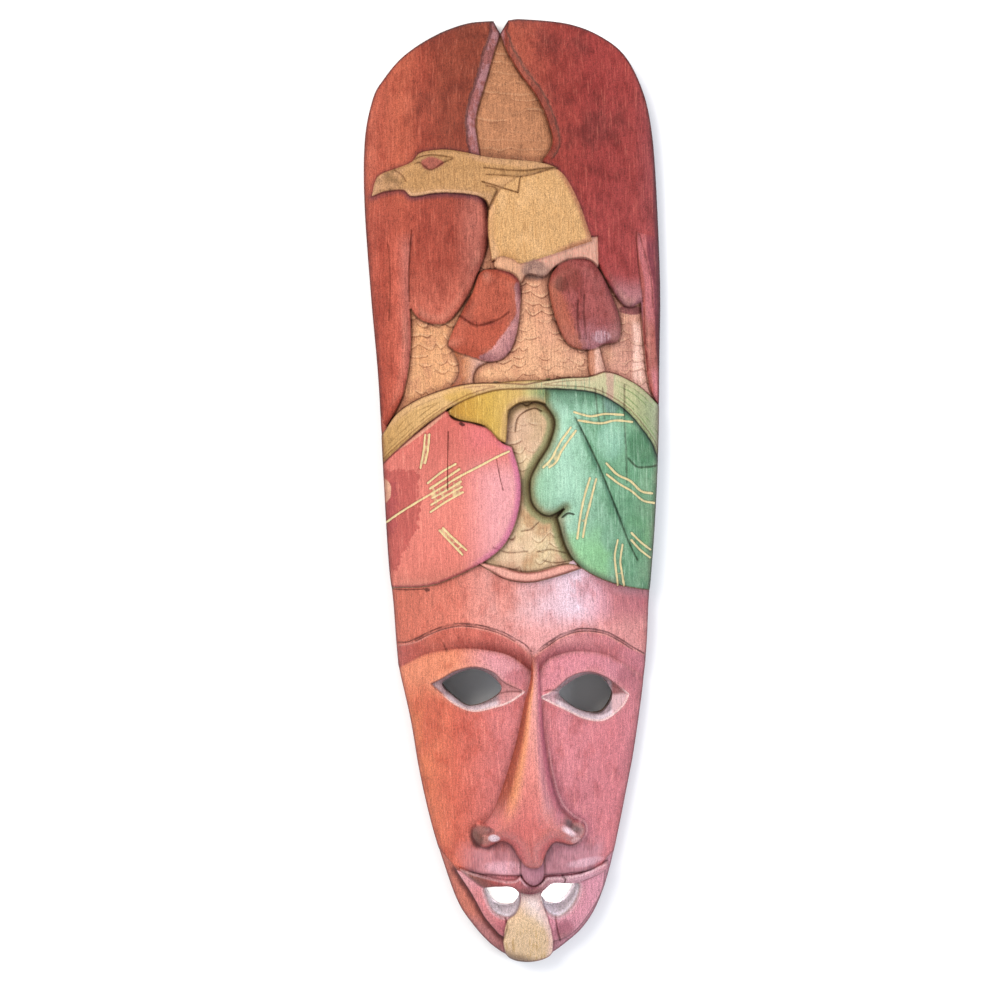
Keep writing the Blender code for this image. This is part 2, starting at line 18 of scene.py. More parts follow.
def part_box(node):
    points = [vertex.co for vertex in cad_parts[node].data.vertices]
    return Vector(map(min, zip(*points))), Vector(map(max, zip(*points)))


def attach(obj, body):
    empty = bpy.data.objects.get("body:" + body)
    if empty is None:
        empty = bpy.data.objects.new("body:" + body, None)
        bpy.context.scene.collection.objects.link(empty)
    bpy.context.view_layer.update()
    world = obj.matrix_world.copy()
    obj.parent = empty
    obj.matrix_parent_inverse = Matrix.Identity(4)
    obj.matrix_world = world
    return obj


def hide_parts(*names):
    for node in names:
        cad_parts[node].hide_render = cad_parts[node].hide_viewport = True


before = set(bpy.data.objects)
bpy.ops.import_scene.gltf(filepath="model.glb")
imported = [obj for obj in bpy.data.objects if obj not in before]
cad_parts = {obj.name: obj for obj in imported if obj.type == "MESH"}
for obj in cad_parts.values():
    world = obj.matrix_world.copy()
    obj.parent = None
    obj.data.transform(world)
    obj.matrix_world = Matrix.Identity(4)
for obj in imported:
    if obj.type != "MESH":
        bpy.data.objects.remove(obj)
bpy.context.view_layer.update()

METRES = 0.001
BOARD_LOW, BOARD_HIGH = (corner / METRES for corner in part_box("mask"))

# The blank: a long tapering plank with a crowned front and a scooped back.
LENGTH = BOARD_HIGH.y - BOARD_LOW.y
HALF_WIDTH = BOARD_HIGH.x
EDGE = 10.0
CROWN = 36.0
CROWN_ACROSS = 2.2
CROWN_ALONG = 4
CHIN_TAPER = 47.0
TAPER_FROM = 40.0
TAPER_BEND = 1.7
RIM = 9.0
SHELL = 12.0
SCOOP_SLOPE = 1.3
SCOOP_BLEND = 6.0
RIM_CHAMFER = 1.0
EDGE_ROUND = 3.0
EDGE_DROP = 1.3

# The cut-away ground of the panel, its gouge cuts, and the arch at its foot where the forehead starts.
GROUND = -4.2
GROUND_MIDDLE = 4.5
GROUND_FOOT = -46.5
GROUND_ARCH = 0.0145
CUT = 0.9
GOUGE_PITCH = 4.9
GOUGE_DEPTH = 0.6
GOUGE_WIDTH = 8.0
GOUGE_SAG = 0.55
TEAR_FOOT = 160
TEAR_GOUGE_PITCH = 5.6
TEAR_GOUGE_WIDTH = 21.0
TEAR_GOUGE_SAG = 0.3
ROUGH_MIDDLE = (10.5, 114.5)
ROUGH_SIZE = (7, 5)
ROUGH_LIFT = 1.3

# The face: a forehead that sinks towards the panel, eye sockets under the brows, lids, pushed-out lips.
FOREHEAD = -3.2
FOREHEAD_FOOT = -78.0
FOREHEAD_RUN = 28.0
SOCKET = 5.0
BROW_ROLL = 1.6
LID_FALL = 4.5
LID_RISE = 0.9
LID_SPREAD = 6.0
LID_CUT = 0.5
EYE_CHAMFER = 2.6
LIP_PUSH = 3.5
LIP_TOP = -186.0
LIP_RUN = 17.0
LIP_HALF_WIDTH = 25.0
LIP_FADE = 18.0
LEDGE = 2.5

# The nose: it leans, so its middle line runs from one side to the other on its way down.
NOSE_TOP = -88.0
NOSE_ROOT = -85.0
NOSE_EMERGES = 13.0
NOSE_RUN = 95.0
NOSE_TIP = 18.0
ROOT_MIDDLE = 6
TIP_MIDDLE = 2
TIP_TOP = -180.0
TIP_RUN = 18.0
TIP_DROP = 2.0
NOSE_CUT = 0.12
TIP_CUT = 0.18
TIP_CUT_FROM = -168
TIP_CUT_RUN = 10
NOSE_WINGS = 0.55
NOSE_HALF_WIDTH = 24.0
BRIDGE_SWELL = 3.2
TIP_SWELL = 10.0
NOSTRILS = [(-22.8, -180.6), (24.8, -180.6)]
NOSTRIL_RADIUS = 5.8
NOSTRIL_CENTRE = 2.2

# The mesh: its spacing, and the fold in degrees from which an edge stays sharp.
FINE = 1.0
BACK_STEP = 4.0
SHARP_ANGLE = 50

# The square sheet that the finish is painted on: the front as two halves, with the back along the top.
SHEET_FOLD = 13
SHEET_GAP = 2
SHEET_FILL = 0.97
BACK_SHRINK = 0.84
BACK_CORNER = (0.01, 0.995)

# The camera looks straight down from a metre over the floor, a little to one side, with a slight turn.
CAMERA_LEFT = 0.01002
CAMERA_DOWN = 0.00543
CAMERA_HEIGHT = 1.0
CAMERA_TURN = -1.41
CAMERA_LENS = 66.08
CAMERA_SENSOR = 36

CROWN_RIGHT = [(1, 253.5), (9, 254), (33, 250.5), (50, 243), (63, 232), (72, 214), (76.5, 194), (78.5, 165),
               (79.5, 110), (78, 68), (76, 20), (73, -22), (69, -62), (67.5, -83)]
CHEEK_RIGHT = [(67.5, -83), (65.5, -103), (60, -137), (55.5, -159), (45.5, -202), (38, -223), (30, -235.5),
               (20, -244.5), (10, -251.5), (0, -254), (-10, -252), (-20, -245), (-30, -233.5), (-38, -221),
               (-45.5, -199), (-51.5, -177.5), (-57, -150), (-61, -122), (-67, -93)]
SIDE_LEFT = [(-67, -93), (-68.5, -62), (-70.5, -36), (-72, 10), (-73.5, 60), (-76.5, 105), (-79, 155),
             (-78, 190), (-73, 212), (-67, 222), (-55.5, 234.5), (-38.5, 245.5), (-22, 252), (-7, 253.5)]
NOTCH = [(-7, 253.5), (-3.5, 246)]
NOTCH_BACK = [(-3.5, 246), (1, 253.5)]
OUTLINE = [CROWN_RIGHT, CHEEK_RIGHT, SIDE_LEFT, NOTCH, NOTCH_BACK]

# The eagle: two spread wings that fill the panel, and head, body, thighs and feet over them.
WING_LEFT = [[(-3.5, 246), (-7, 235), (-12, 217.5), (-17, 200.5), (-18, 192), (-16, 176)],
             [(-16, 176), (-13, 147), (-13, 130), (-17.5, 115.5), (-25.5, 99.5), (-34, 89.5), (-41.5, 88),
              (-50, 91.5), (-55, 98)],
             [(-55, 98), (-54.8, 82), (-56, 70), (-58.3, 58), (-62, 47.5), (-72, 31)],
             [(-72, 31), (-90, 20)], [(-90, 20), (-90, 262)], [(-90, 262), (-3.5, 262)],
             [(-3.5, 262), (-3.5, 246)]]
WING_RIGHT = [[(-3.5, 246), (0, 234.5), (6.5, 221.5), (15, 208), (20.5, 194), (22.5, 182), (17, 172.5)],
              [(17, 172.5), (44.5, 118.5), (52, 105), (58, 97), (63, 96), (68, 98.5)],
              [(68, 98.5), (69.5, 75), (72, 53), (79, 40)],
              [(79, 40), (90, 40)], [(90, 40), (90, 262)], [(90, 262), (-3.5, 262)],
              [(-3.5, 262), (-3.5, 246)]]
FRINGE = [[(-9, 123), (-9.5, 116), (-3, 113), (3, 107.5), (7, 112), (16, 111), (22, 116), (32, 120),
           (45, 116)],
          [(45, 116), (45, 132)], [(45, 132), (-9, 123)]]
BODY = [[(-11, 119.5), (-6, 121.5), (0, 120), (4, 117.5), (14, 120), (28, 124.5), (42, 129.5)],
        [(42, 129.5), (40, 136), (35, 151), (28.5, 163.5), (22, 169)], [(22, 169), (-9, 167)],
        [(-9, 167), (-12, 146), (-12.5, 133), (-11, 119.5)]]
HEAD = [[(-74.5, 159.5), (-72.5, 167), (-69, 170.5), (-58, 173), (-52, 175), (-48, 179), (-42, 180),
         (-31.5, 179.5), (-10, 174.5), (14, 171.5), (25, 168)],
        [(25, 168), (4, 164)], [(4, 164), (-6, 157), (-11.5, 147)],
        [(-11.5, 147), (-14, 152), (-21.5, 155), (-37.5, 157), (-52, 156.5), (-57, 160.5), (-67, 161),
         (-74.5, 159.5)]]
THIGH_LEFT = [[(-34.5, 79), (-26.5, 95), (-21.5, 103.5), (-17, 114), (-9, 115), (0, 112), (3.5, 105), (2, 86),
               (-3, 72), (-12, 67), (-26, 71), (-33, 74.5), (-34.5, 79)]]
THIGH_RIGHT = [[(18.5, 106), (23, 116), (32.5, 120), (42, 118.5), (49.5, 107), (56, 89), (55, 78), (47, 75.5),
                (39.5, 72.5), (28.5, 75), (22, 87.5), (18.5, 106)]]
FOOT_LEFT = [[(-34, 77), (-29.5, 66), (-31, 58), (-40, 50)], [(-40, 50), (-20, 50)],
             [(-20, 50), (-22.5, 58), (-20, 64), (-12, 68)], [(-12, 68), (-34, 77)]]
FOOT_RIGHT = [[(38.5, 75), (38.5, 66), (39.5, 55)], [(39.5, 55), (49, 56)], [(49, 56), (46.5, 65), (44, 75)],
              [(44, 75), (38.5, 75)]]

# The roundel under the eagle: an arched band, a yellow patch, a pink leaf, a green leaf, a cut-away middle.
BAND = [[(-82, 20), (-71, 32.5), (-62, 43), (-45, 51), (-21.5, 55.5), (5, 54)],
        [(5, 54), (23, 57), (39, 58), (48, 60.5), (58, 57.5), (69, 51), (84, 36)], [(84, 36), (84, 0)],
        [(84, 0), (75.5, 16.5), (71.5, 25), (60.5, 38.5), (49.5, 46.5), (39, 50.5), (23, 52), (5, 52.5),
         (-11, 52), (-27, 47.5), (-40, 40.5), (-51, 33), (-62.5, 24), (-71.5, 16.5), (-82, 8)],
        [(-82, 8), (-82, 20)]]
YELLOW = [[(-37, 41), (-30, 37), (-17.5, 33.5), (-12, 27), (-6, 24)], [(-6, 24), (-5, 34), (-4, 41), (2, 45),
          (10, 45.5), (16, 43.5)], [(16, 43.5), (30, 48)], [(30, 48), (20, 56), (-20, 54), (-37, 41)]]
PINK_LEAF = [[(-82, 18), (-60, 27), (-37, 43)], [(-37, 43), (-33, 37.5), (-22, 34.5), (-15, 31.5), (-9, 25),
             (-3, 22)], [(-3, 22), (1, 6), (0, -10), (-6, -25.5), (-16, -35.5), (-34.5, -45), (-50.5, -50),
             (-75, -51)], [(-75, -51), (-82, 18)]]
GREEN_LEAF = [[(15, 44), (20, 35), (17, 23), (11, 13.5), (6.5, 4), (7.5, -8), (15, -14), (24.5, -10)],
              [(24.5, -10), (20, -15.5)],
              [(20, -15.5), (24.5, -31.5), (32.5, -42), (50, -51), (76, -57)],
              [(76, -57), (82, 15)], [(82, 15), (60, 42), (40, 53), (15, 54)], [(15, 54), (15, 44)]]
LIP_OF_GROUND = [[(-24, -37), (-17.5, -41), (-8, -46.5), (4.5, -48.5), (18, -46), (32, -42)],
                 [(32, -42), (24, -40), (4.5, -43.5), (-10, -40.5), (-24, -37)]]

# The face, from its brow lines down.
BROW = [[(-80, -82), (-66.5, -80.5), (-56.5, -78), (-45, -72), (-31.5, -69.5), (-15, -72.5), (-3, -78),
         (5.5, -85.5)],
        [(5.5, -85.5), (12, -81), (20, -76.5), (31, -73.8), (44, -76), (55, -82.5), (80, -96)],
        [(80, -96), (80, -270)], [(80, -270), (-80, -270)], [(-80, -270), (-80, -82)]]
CREASE = [[(-80, -102), (-62, -92), (-50, -86), (-31.5, -83), (-15, -84.5), (-5, -88), (3.8, -95)],
          [(3.8, -95), (8.5, -95.5)],
          [(8.5, -95.5), (14, -89), (25, -86), (35, -86.5), (46, -89.5), (62, -100), (80, -112)],
          [(80, -112), (80, -270)], [(80, -270), (-80, -270)], [(-80, -270), (-80, -102)]]
EYE_LEFT = [[(-48.5, -102), (-42, -98.5), (-35, -94.5), (-25, -92.5), (-16, -95), (-10, -100.5), (0, -105.5)],
            [(0, -105.5), (-8, -110.5), (-16, -113), (-26, -115), (-34.5, -112.5), (-41, -108),
             (-48.5, -102)]]
EYE_RIGHT = [[(9.5, -108.5), (15, -106), (24.5, -98.8), (34, -96.8), (43, -100), (50, -105.5), (56, -111)],
             [(56, -111), (52.5, -116.5), (43, -122.3), (33, -121), (21.5, -115), (9.5, -108.5)]]
PUPIL_LEFT = [[(-43, -102.5), (-38, -98), (-32, -95), (-25, -93.7), (-17.5, -96.5), (-11.3, -103.7),
               (-17, -109.8),
               (-28, -113.6), (-36, -109.8), (-43, -102.5)]]
PUPIL_RIGHT = [[(18.5, -107.3), (24, -102), (33, -98.3), (41, -100), (46, -106), (47.2, -112), (41.5, -119.2),
                (33, -118.6), (25, -114.6), (18.5, -107.3)]]
JAW_RIM = [[(-50, -190), (-44.5, -195.5), (-38.5, -202)],
           [(-38.5, -202), (-24, -218), (0, -234), (26, -218), (39, -204)],
           [(39, -204), (44, -198), (52, -194)],
           [(52, -194), (70, -270)], [(70, -270), (-70, -270)], [(-70, -270), (-50, -190)]]
CHIN = [[(-38, -203), (-31.5, -213), (-27.5, -220), (-23.5, -228), (-19, -234), (-13.5, -239.5), (0, -243)],
        [(0, -243), (16, -242), (25, -237), (33.5, -227), (40, -216), (41.5, -204)],
        [(41.5, -204), (-38, -203)]]
TONGUE = [[(-4, -212), (-4.2, -219), (-7, -225.5), (-11.5, -229.5), (-13.2, -238), (-13.5, -245), (-9, -262)],
          [(-9, -262), (10, -262)],
          [(10, -262), (12.5, -247), (12.5, -240), (10.5, -230), (7.5, -220), (6.5, -212)],
          [(6.5, -212), (-4, -212)]]
LIP = [[(-38, -200.8), (-28, -203.2), (-20, -204.8), (-12, -206.2), (-7, -206), (-3.8, -203.8)],
       [(-3.8, -203.8), (-1, -208), (3.5, -210), (7.5, -207.5), (10, -204.8)],
       [(10, -204.8), (24, -205), (33, -203.8), (43, -201)],
       [(43, -201), (42, -205), (30, -208.5), (23.5, -210), (13, -208.7), (8, -212), (1.5, -213.8),
        (-4.5, -212.5),
        (-10, -209.6), (-22, -210.8), (-29, -207), (-38, -200.5)]]
PHILTRUM = [[(-3, -194), (-3.5, -202), (-1, -207), (3, -209.3), (7.3, -206.8), (8.7, -202), (8.5, -194)],
            [(8.5, -194), (-3, -194)]]
MOUTH_LEFT = [[(-22.5, -210.8), (-21.5, -219), (-18, -225), (-12, -227.5), (-7, -225.5), (-4.2, -219),
               (-6, -212.3), (-11, -209.8), (-22.5, -210.8)]]
MOUTH_RIGHT = [[(6.3, -216), (8.5, -223), (14.5, -228), (21, -225.5), (26, -218.5), (27, -210.5),
                (19, -208.8), (12.5, -209), (6.3, -216)]]
GAP_LEFT = [[(-22, -212.1), (-11, -210.8), (-5.1, -215), (-7.2, -221.2), (-11.5, -222.7), (-16.5, -222.2),
             (-20.2, -218.6), (-22, -212.1)]]
GAP_RIGHT = [[(7.3, -216.4), (13, -210.2), (24.4, -211.2), (21.6, -218.2), (17.5, -221.4), (12.8, -222.7),
              (9.2, -221), (7.3, -216.4)]]
NOSE = [[(4.2, -86), (4, -98), (0.5, -110.5), (-4, -129.5), (-10.5, -150.5), (-17, -167), (-22.5, -174.5),
         (-28, -178), (-28, -184), (-22.5, -188.5), (-14, -184.5), (-8.5, -186.5), (-5, -192.5), (-1.5, -197),
         (2.5, -198.8), (7, -197.5), (10.5, -190), (15, -185.8), (24, -188), (30, -183.5), (30, -178),
         (24.5, -174), (18, -166), (13.5, -151), (10.5, -130), (9, -104), (8, -86), (4.2, -86)]]
# Small ovals of colour on and round the nostrils: middle, half size, colour in shares of light, and strength.
# The darkest is painted shade on the left ball's outer side, the near-white one a painted highlight.
NOSTRIL_TINTS = [((-22.0, -183.6), (3.0, 3.2), (0.53, 0.20, 0.17, 1), 0.7),
                 ((-26.6, -183.0), (3.4, 6.4), (0.1, 0.008, 0.005, 1), 0.95),
                 ((-22.5, -178.2), (5.2, 2.2), (0.20, 0.05, 0.05, 1), 0.85),
                 ((-17.3, -182.2), (2.9, 2.2), (1.0, 0.76, 0.82, 1), 0.95),
                 ((25.8, -185.4), (2.6, 2.0), (0.82, 0.47, 0.47, 1), 0.7)]
BIRD_EYE = [(-47.5, 173.6), (-42.5, 176.2), (-35, 172.7), (-42, 169.3), (-47.5, 173.6)]
LEFT_BEVEL = [(3.5, 106), (0.5, 106), (1, 93), (-2.5, 85.5), (-7.5, 79), (-13, 72.5), (-18.5, 70), (-16, 66),
              (-3, 68), (6, 84), (3.5, 106)]
LEFT_STRIP = [(-53, 138.5), (-54, 128), (-55, 115), (-55, 99), (-54, 82), (-57, 30), (-90, 30), (-90, 120),
              (-70, 134), (-53, 138.5)]
RIGHT_STRIP = [(66.5, 136), (66.3, 131.5), (67.2, 118), (68.3, 107), (69, 99), (69, 60), (72, 30), (90, 30),
               (90, 120), (66.5, 136)]


class Cut(NamedTuple):
    """A line cut into the surface: its points, its whole width and its depth."""

    points: list
    width: float = 1.1
    depth: float = 0.35


# Dark lines: fine V cuts and splits that hold stain and dust.
DARK_CUTS = [
    Cut([(-80, -81), (-66.5, -80.5), (-61, -80), (-56.5, -78), (-48.5, -74), (-40.5, -71), (-31.5, -69.5),
         (-22, -70.5), (-11.5, -73.5), (-4, -77.5), (1.5, -81), (4.5, -84.5)], 0.8, 0.35),
    Cut([(-56.5, -79.4), (-48.5, -75.4), (-40.5, -72.4), (-31.5, -70.9), (-22, -71.9), (-11.5, -74.9),
         (-4, -79)], 0.6, 0.25),
    Cut([(7.5, -84.5), (12, -81), (19.5, -76.5), (27.5, -74), (35.5, -74), (44, -76), (52, -80.5),
         (59, -85.5), (70, -92.5)], 0.8, 0.35),
    Cut([(9, -84.6), (13, -82.2), (20, -77.9), (28, -75.4), (36, -75.4), (44.2, -77.4), (52, -81.9),
         (59, -86.9)], 0.6, 0.25),
    Cut([(-36, 31), (-36.7, 14), (-37, 0.5)], 0.6, 0.5),
    Cut([(-11, 15.5), (-9.5, 6), (-8, -0.5)], 0.5, 0.3),
    Cut([(-29.6, 35.2), (-28, 34.3)], 1.8, 0.7),
    Cut([(-49.9, -52.2), (-49.1, -51.9)], 2.2, 0.8),
    Cut([(-72, -52), (-60, -52.1), (-49.5, -51.5)], 0.6, 0.3),
    Cut([(22.5, -15.2), (25.5, -13.2), (28.5, -13.8)], 1.2, 0.7),
    Cut([(18.3, -204.6), (19.8, -206.6), (18.8, -208.6)], 0.9, 0.8),
]

# Softer lines: shallow cuts, steps and seams, and brushed streaks of a darker stain.
SOFT_CUTS = [
    Cut([(-61.5, 171.5), (-57, 167.5), (-55.5, 164.5)], 0.9, 0.4),
    Cut([(-50.5, 176.2), (-42, 177.4), (-30.5, 175)], 0.9, 0.45),
    Cut([(-50.5, 173.5), (-47.5, 173.6), (-42, 169.3), (-35, 172.7), (-30, 174.5)], 1.0, 0.45),
    Cut([(-14, 168.6), (-3, 167), (7, 166.3), (15.5, 167.3), (24, 168.2)], 1.0, 0.5),
    Cut([(-13, 164.9), (5, 163.2)], 0.8, 0.4),
    Cut([(5, 163.2), (3.5, 154.8)], 1.0, 0.6),
    Cut([(3.5, 154.8), (-15, 161)], 1.0, 0.7),
    Cut([(-13, 159), (-7.5, 157), (-9, 153), (-12, 147)], 1.2, 0.6),
    Cut([(5, 163.2), (12, 164.5), (22, 168)], 0.9, 0.4),
    Cut([(-53, 138.5), (-54, 128), (-55, 115), (-55, 101)], 1.1, 0.6),
    Cut([(66.5, 136), (66.3, 131.5), (67.2, 118), (68.3, 107), (69.2, 99)], 1.0, 0.5),
    Cut([(68, 135.5), (72, 121), (74.3, 110.5), (75, 96)], 0.7, 0.3),
    Cut([(69.7, 95), (70, 80), (71.2, 62)], 0.8, 0.3),
    Cut([(-66, 132), (-65.5, 112), (-66.5, 92)], 0.8, 0.25),
    Cut([(-28.5, 91.5), (-21, 86), (-14, 86.5), (-7, 89), (-3, 92)], 1.4, 0.5),
    Cut([(33.5, 98), (33, 88), (34, 78)], 1.2, 0.35),
    Cut([(37, 101), (36.5, 90), (37.5, 78)], 1.0, 0.35),
    Cut([(-4.5, 41), (-1, 43.5), (2, 45), (5.5, 43.5), (9.5, 45.5), (15, 44)], 0.9, 0.6),
    Cut([(-1, 30.5), (0.5, 37), (4.5, 40.5), (9.5, 42), (13, 40.5)], 1.0, 0.7),
    Cut([(30.5, 36.5), (35.5, 26.5), (41.5, 13.5), (46.5, 1), (52.5, -15), (57.5, -28.5), (62.5, -39)], 1.1,
        0.7),
    Cut([(58.5, 15), (63.5, 10.5), (71, 10.5), (78, 12)], 1.2, 0.6),
    Cut([(41.5, 52), (42, 44), (43, 35)], 1.0, 0.3),
    Cut([(45.5, 52), (45.5, 44), (46, 36)], 0.9, 0.25),
    Cut([(57.5, 54), (57, 38), (57.5, 20), (57.5, 2)], 1.0, 0.3),
    Cut([(1, -22), (6, -21), (10, -17.5)], 0.8, 0.4),
    Cut([(9, -33), (16, -32), (24, -34)], 0.8, 0.4),
    Cut([(12, -37.5), (18, -39), (27, -38)], 0.8, 0.4),
    Cut([(-14, -30), (-6, -33), (4, -32.5)], 0.8, 0.3),
    Cut([(-12.5, -227.5), (-11.5, -233), (-13.5, -240)], 1.0, 0.6),
    Cut([(14.3, -228), (14.8, -233), (16.6, -243)], 1.0, 0.6),
    Cut([(-41.5, -80), (-40, -84.5)], 0.8, 0.3),
    Cut([(-13.5, -106.6), (-7, -105.4), (-1.5, -105.6)], 0.8, 0.35),
    Cut([(10.8, -105.6), (14, -105), (18, -105.8)], 0.8, 0.35),
]

# Pale strokes: shallow gouge cuts through the stain into clean wood.
PALE_CUTS = [
    Cut([(-72, -16.5), (-63.5, -11), (-52, -4.5), (-41, 1.5), (-30.5, 7.5), (-20, 12.5), (-12, 16.5),
         (-4.5, 19.8)]),
    Cut([(-51.3, 12.5), (-49.5, 21), (-48.3, 30)]),
    Cut([(-48.7, 15), (-47, 22), (-46, 30)]),
    Cut([(-47.5, 4.5), (-40, 10), (-32.5, 14)]),
    Cut([(-46.5, 1.5), (-39, 6), (-30.5, 11.3)]),
    Cut([(-45.5, -3.5), (-38, 0.2), (-30, 4.7)]),
    Cut([(-46, -7), (-38, -2.5), (-29.5, 2)]),
    Cut([(-46.5, -10.8), (-38, -5.5), (-29, -0.8)]),
    Cut([(-42, -20.5), (-36.5, -26.5), (-30, -33.5)]),
    Cut([(-40, -19.3), (-34.5, -25), (-28, -31)], 1.2, 0.4),
    Cut([(30, 39.5), (38.5, 37.3), (46.5, 38.5), (56.5, 38)]),
    Cut([(32, 35.2), (43.5, 33.6), (52, 35), (61.5, 34.3)]),
    Cut([(28, 31.5), (22, 23.5), (17.5, 15.5), (13, 11)]),
    Cut([(30.6, 29.8), (23.5, 20.5), (20, 14), (16.3, 11)]),
    Cut([(46.5, 12.5), (52.5, 6.5), (59.5, 3), (65.5, -2.5), (71.8, -3.8)], 1.2, 0.4),
    Cut([(46.5, 6.8), (53, 1.8), (59.5, -2), (66.5, -7.5), (73, -9)]),
    Cut([(37.5, 5), (34.5, -4), (32, -14.5), (30, -26.5)]),
    Cut([(40.8, 4.5), (37.7, -6.5), (34.8, -17), (33, -26)]),
    Cut([(59.5, -24.5), (64.5, -29.5), (70.3, -34)]),
    Cut([(59.3, -28.3), (64, -33.5), (70, -38.3)]),
    Cut([(51.8, -28), (50, -36), (50.5, -44), (51.5, -52)]),
    Cut([(54.4, -30.5), (53, -39), (53.8, -46), (55, -52.5)]),
]


class Figure(NamedTuple):
    """A raised figure: the stain mark it carries, its outline, its top, and how its edge falls."""

    mark: str
    runs: list
    level: float
    fall: float
    width: float
    tear_drop: float = 0.0
    tear_width: float = 1.0


# In carving order: each one stands over those before it.
FIGURES = [
    Figure("wings", WING_LEFT, 0.0, 2.6, 5.0, 2.4, 5.2),
    Figure("wings", WING_RIGHT, 0.0, 2.0, 3.5, 1.8, 3.6),
    Figure("fringe", FRINGE, -0.2, 0.9, 3.0),
    Figure("body", BODY, 1.4, 0.8, 2.5),
    Figure("head", HEAD, 2.4, 1.2, 3.0),
    Figure("feet", FOOT_LEFT, -1.6, 0.9, 2.0),
    Figure("feet", FOOT_RIGHT, -1.6, 0.9, 2.0),
    Figure("thighs", THIGH_LEFT, 1.6, 3.4, 8.0),
    Figure("thighs", THIGH_RIGHT, 1.6, 3.4, 8.0),
    Figure("arch", LIP_OF_GROUND, -0.2, 0.6, 2.0),
    Figure("yellow", YELLOW, 0.2, 0.6, 2.0),
    Figure("pink", PINK_LEAF, 1.2, 2.4, 8.0),
    Figure("green", GREEN_LEAF, 1.2, 2.4, 8.0),
    Figure("band", BAND, 1.2, 0.8, 2.0),
    Figure("jaw", JAW_RIM, -1.6, 0.0, 1.0),
    Figure("chin", CHIN, 2.0, 1.4, 3.0),
    Figure("tongue", TONGUE, 5.0, 2.4, 5.0),
    Figure("lips", LIP, 5.0, 1.6, 2.0),
    Figure("philtrum", PHILTRUM, 4.6, 1.6, 3.0),
]
MOUTHS = [(MOUTH_LEFT, GAP_LEFT), (MOUTH_RIGHT, GAP_RIGHT)]
EYES = [(EYE_LEFT, PUPIL_LEFT), (EYE_RIGHT, PUPIL_RIGHT)]
HOLES = [PUPIL_LEFT, PUPIL_RIGHT, GAP_LEFT, GAP_RIGHT]
UNMARKED = -20.0
FINISH_OVERLAP = 0.35
CUT_SHADOW = (112, 66, 62)
LAST_UNCOVERING = 2


def smooth_run(points, step):
    """A Catmull-Rom curve through the points, sampled about every step, without its last point."""
    points = np.array(points, float)
    before = 2 * points[0] - points[1]
    after = 2 * points[-1] - points[-2]
    if len(points) > 3 and np.allclose(points[0], points[-1]):
        before, after = points[-2], points[1]
    knots = np.vstack([before, points, after])
    samples = []
    for p0, p1, p2, p3 in zip(knots, knots[1:], knots[2:], knots[3:]):
        count = max(1, round(float(np.linalg.norm(p2 - p1)) / step))
        t = (np.arange(count) / count)[:, None]
        samples.append(0.5 * (2 * p1 + (p2 - p0) * t + (2 * p0 - 5 * p1 + 4 * p2 - p3) * t ** 2
                              + (3 * p1 - p0 - 3 * p2 + p3) * t ** 3))
    return np.vstack(samples)


def closed_line(runs, step=FINE):
    return np.vstack([smooth_run(run, step) for run in runs])


def open_line(points, step=FINE):
    return np.vstack([smooth_run(points, step), np.array(points[-1:], float)])


def near_box(line, at, reach):
    return np.flatnonzero(np.all((at > line.min(axis=0) - reach) & (at < line.max(axis=0) + reach), axis=1))


def square_distance(x, y, start, end):
    dx, dy = end - start
    along = np.clip(((x - start[0]) * dx + (y - start[1]) * dy) / (dx * dx + dy * dy + 1e-12), 0, 1)
    return (x - start[0] - along * dx) ** 2 + (y - start[1] - along * dy) ** 2


def inside_depth(line, at, reach=-UNMARKED):
    """How deep each point lies inside a closed line, negative outside it, and no less than -reach."""
    depth = np.full(len(at), -reach)
    near = near_box(line, at, reach)
    x, y = at[near].T
    nearest = np.full(len(near), np.inf)
    inside = np.zeros(len(near), bool)
    for start, end in zip(line, np.roll(line, -1, axis=0)):
        nearest = np.minimum(nearest, square_distance(x, y, start, end))
        if start[1] != end[1]:
            level = (end[0] - start[0]) * (y - start[1]) / (end[1] - start[1]) + start[0]
            inside ^= ((start[1] > y) != (end[1] > y)) & (x < level)
    depth[near] = np.maximum(np.where(inside, 1, -1) * np.sqrt(nearest), -reach)
    return depth


def depth_in(runs, at):
    """How deep each point lies inside a figure of the carving."""
    return inside_depth(closed_line(runs), at)


def distance_from(line, at, reach):
    """How far each point lies from an open line, up to reach."""
    away = np.full(len(at), reach, float)
    near = near_box(line, at, reach)
    x, y = at[near].T
    nearest = np.full(len(near), reach ** 2, float)
    for start, end in zip(line[:-1], line[1:]):
        nearest = np.minimum(nearest, square_distance(x, y, start, end))
    away[near] = np.sqrt(nearest)
    return away


def ease(value):
    """0 below 0, 1 above 1, and a smooth slope between."""
    t = np.clip(value, 0, 1)
    return t * t * (3 - 2 * t)


def chance(column, row, seed):
    """A repeatable random number from 0 to 1 for each cell of a lattice."""
    value = np.sin(column * 127.1 + row * 311.7 + seed * 74.7) * 43758.5453
    return value - np.floor(value)


def unevenness(at, across, along, seed):
    """Smooth random swells of the given size, from -1 to 1."""
    x, y = at[:, 0] / across, at[:, 1] / along
    column, row = np.floor(x), np.floor(y)
    u, v = ease(x - column), ease(y - row)
    near = chance(column, row, seed) * (1 - u) + chance(column + 1, row, seed) * u
    far = chance(column, row + 1, seed) * (1 - u) + chance(column + 1, row + 1, seed) * u
    return 2 * (near * (1 - v) + far * v) - 1


def blank_height(at):
    """The crowned front of the uncarved blank."""
    x, y = at.T
    taper = np.clip((TAPER_FROM - y) / (TAPER_FROM + LENGTH / 2), 0, 1)
    across = np.abs(x) / (HALF_WIDTH - CHIN_TAPER * taper ** TAPER_BEND)
    along = np.abs(y) / (LENGTH / 2)
    lengthways = 1 - np.clip(along, 0, 1) ** CROWN_ALONG
    return EDGE + CROWN * (1 - np.clip(across, 0, 1) ** CROWN_ACROSS) * lengthways


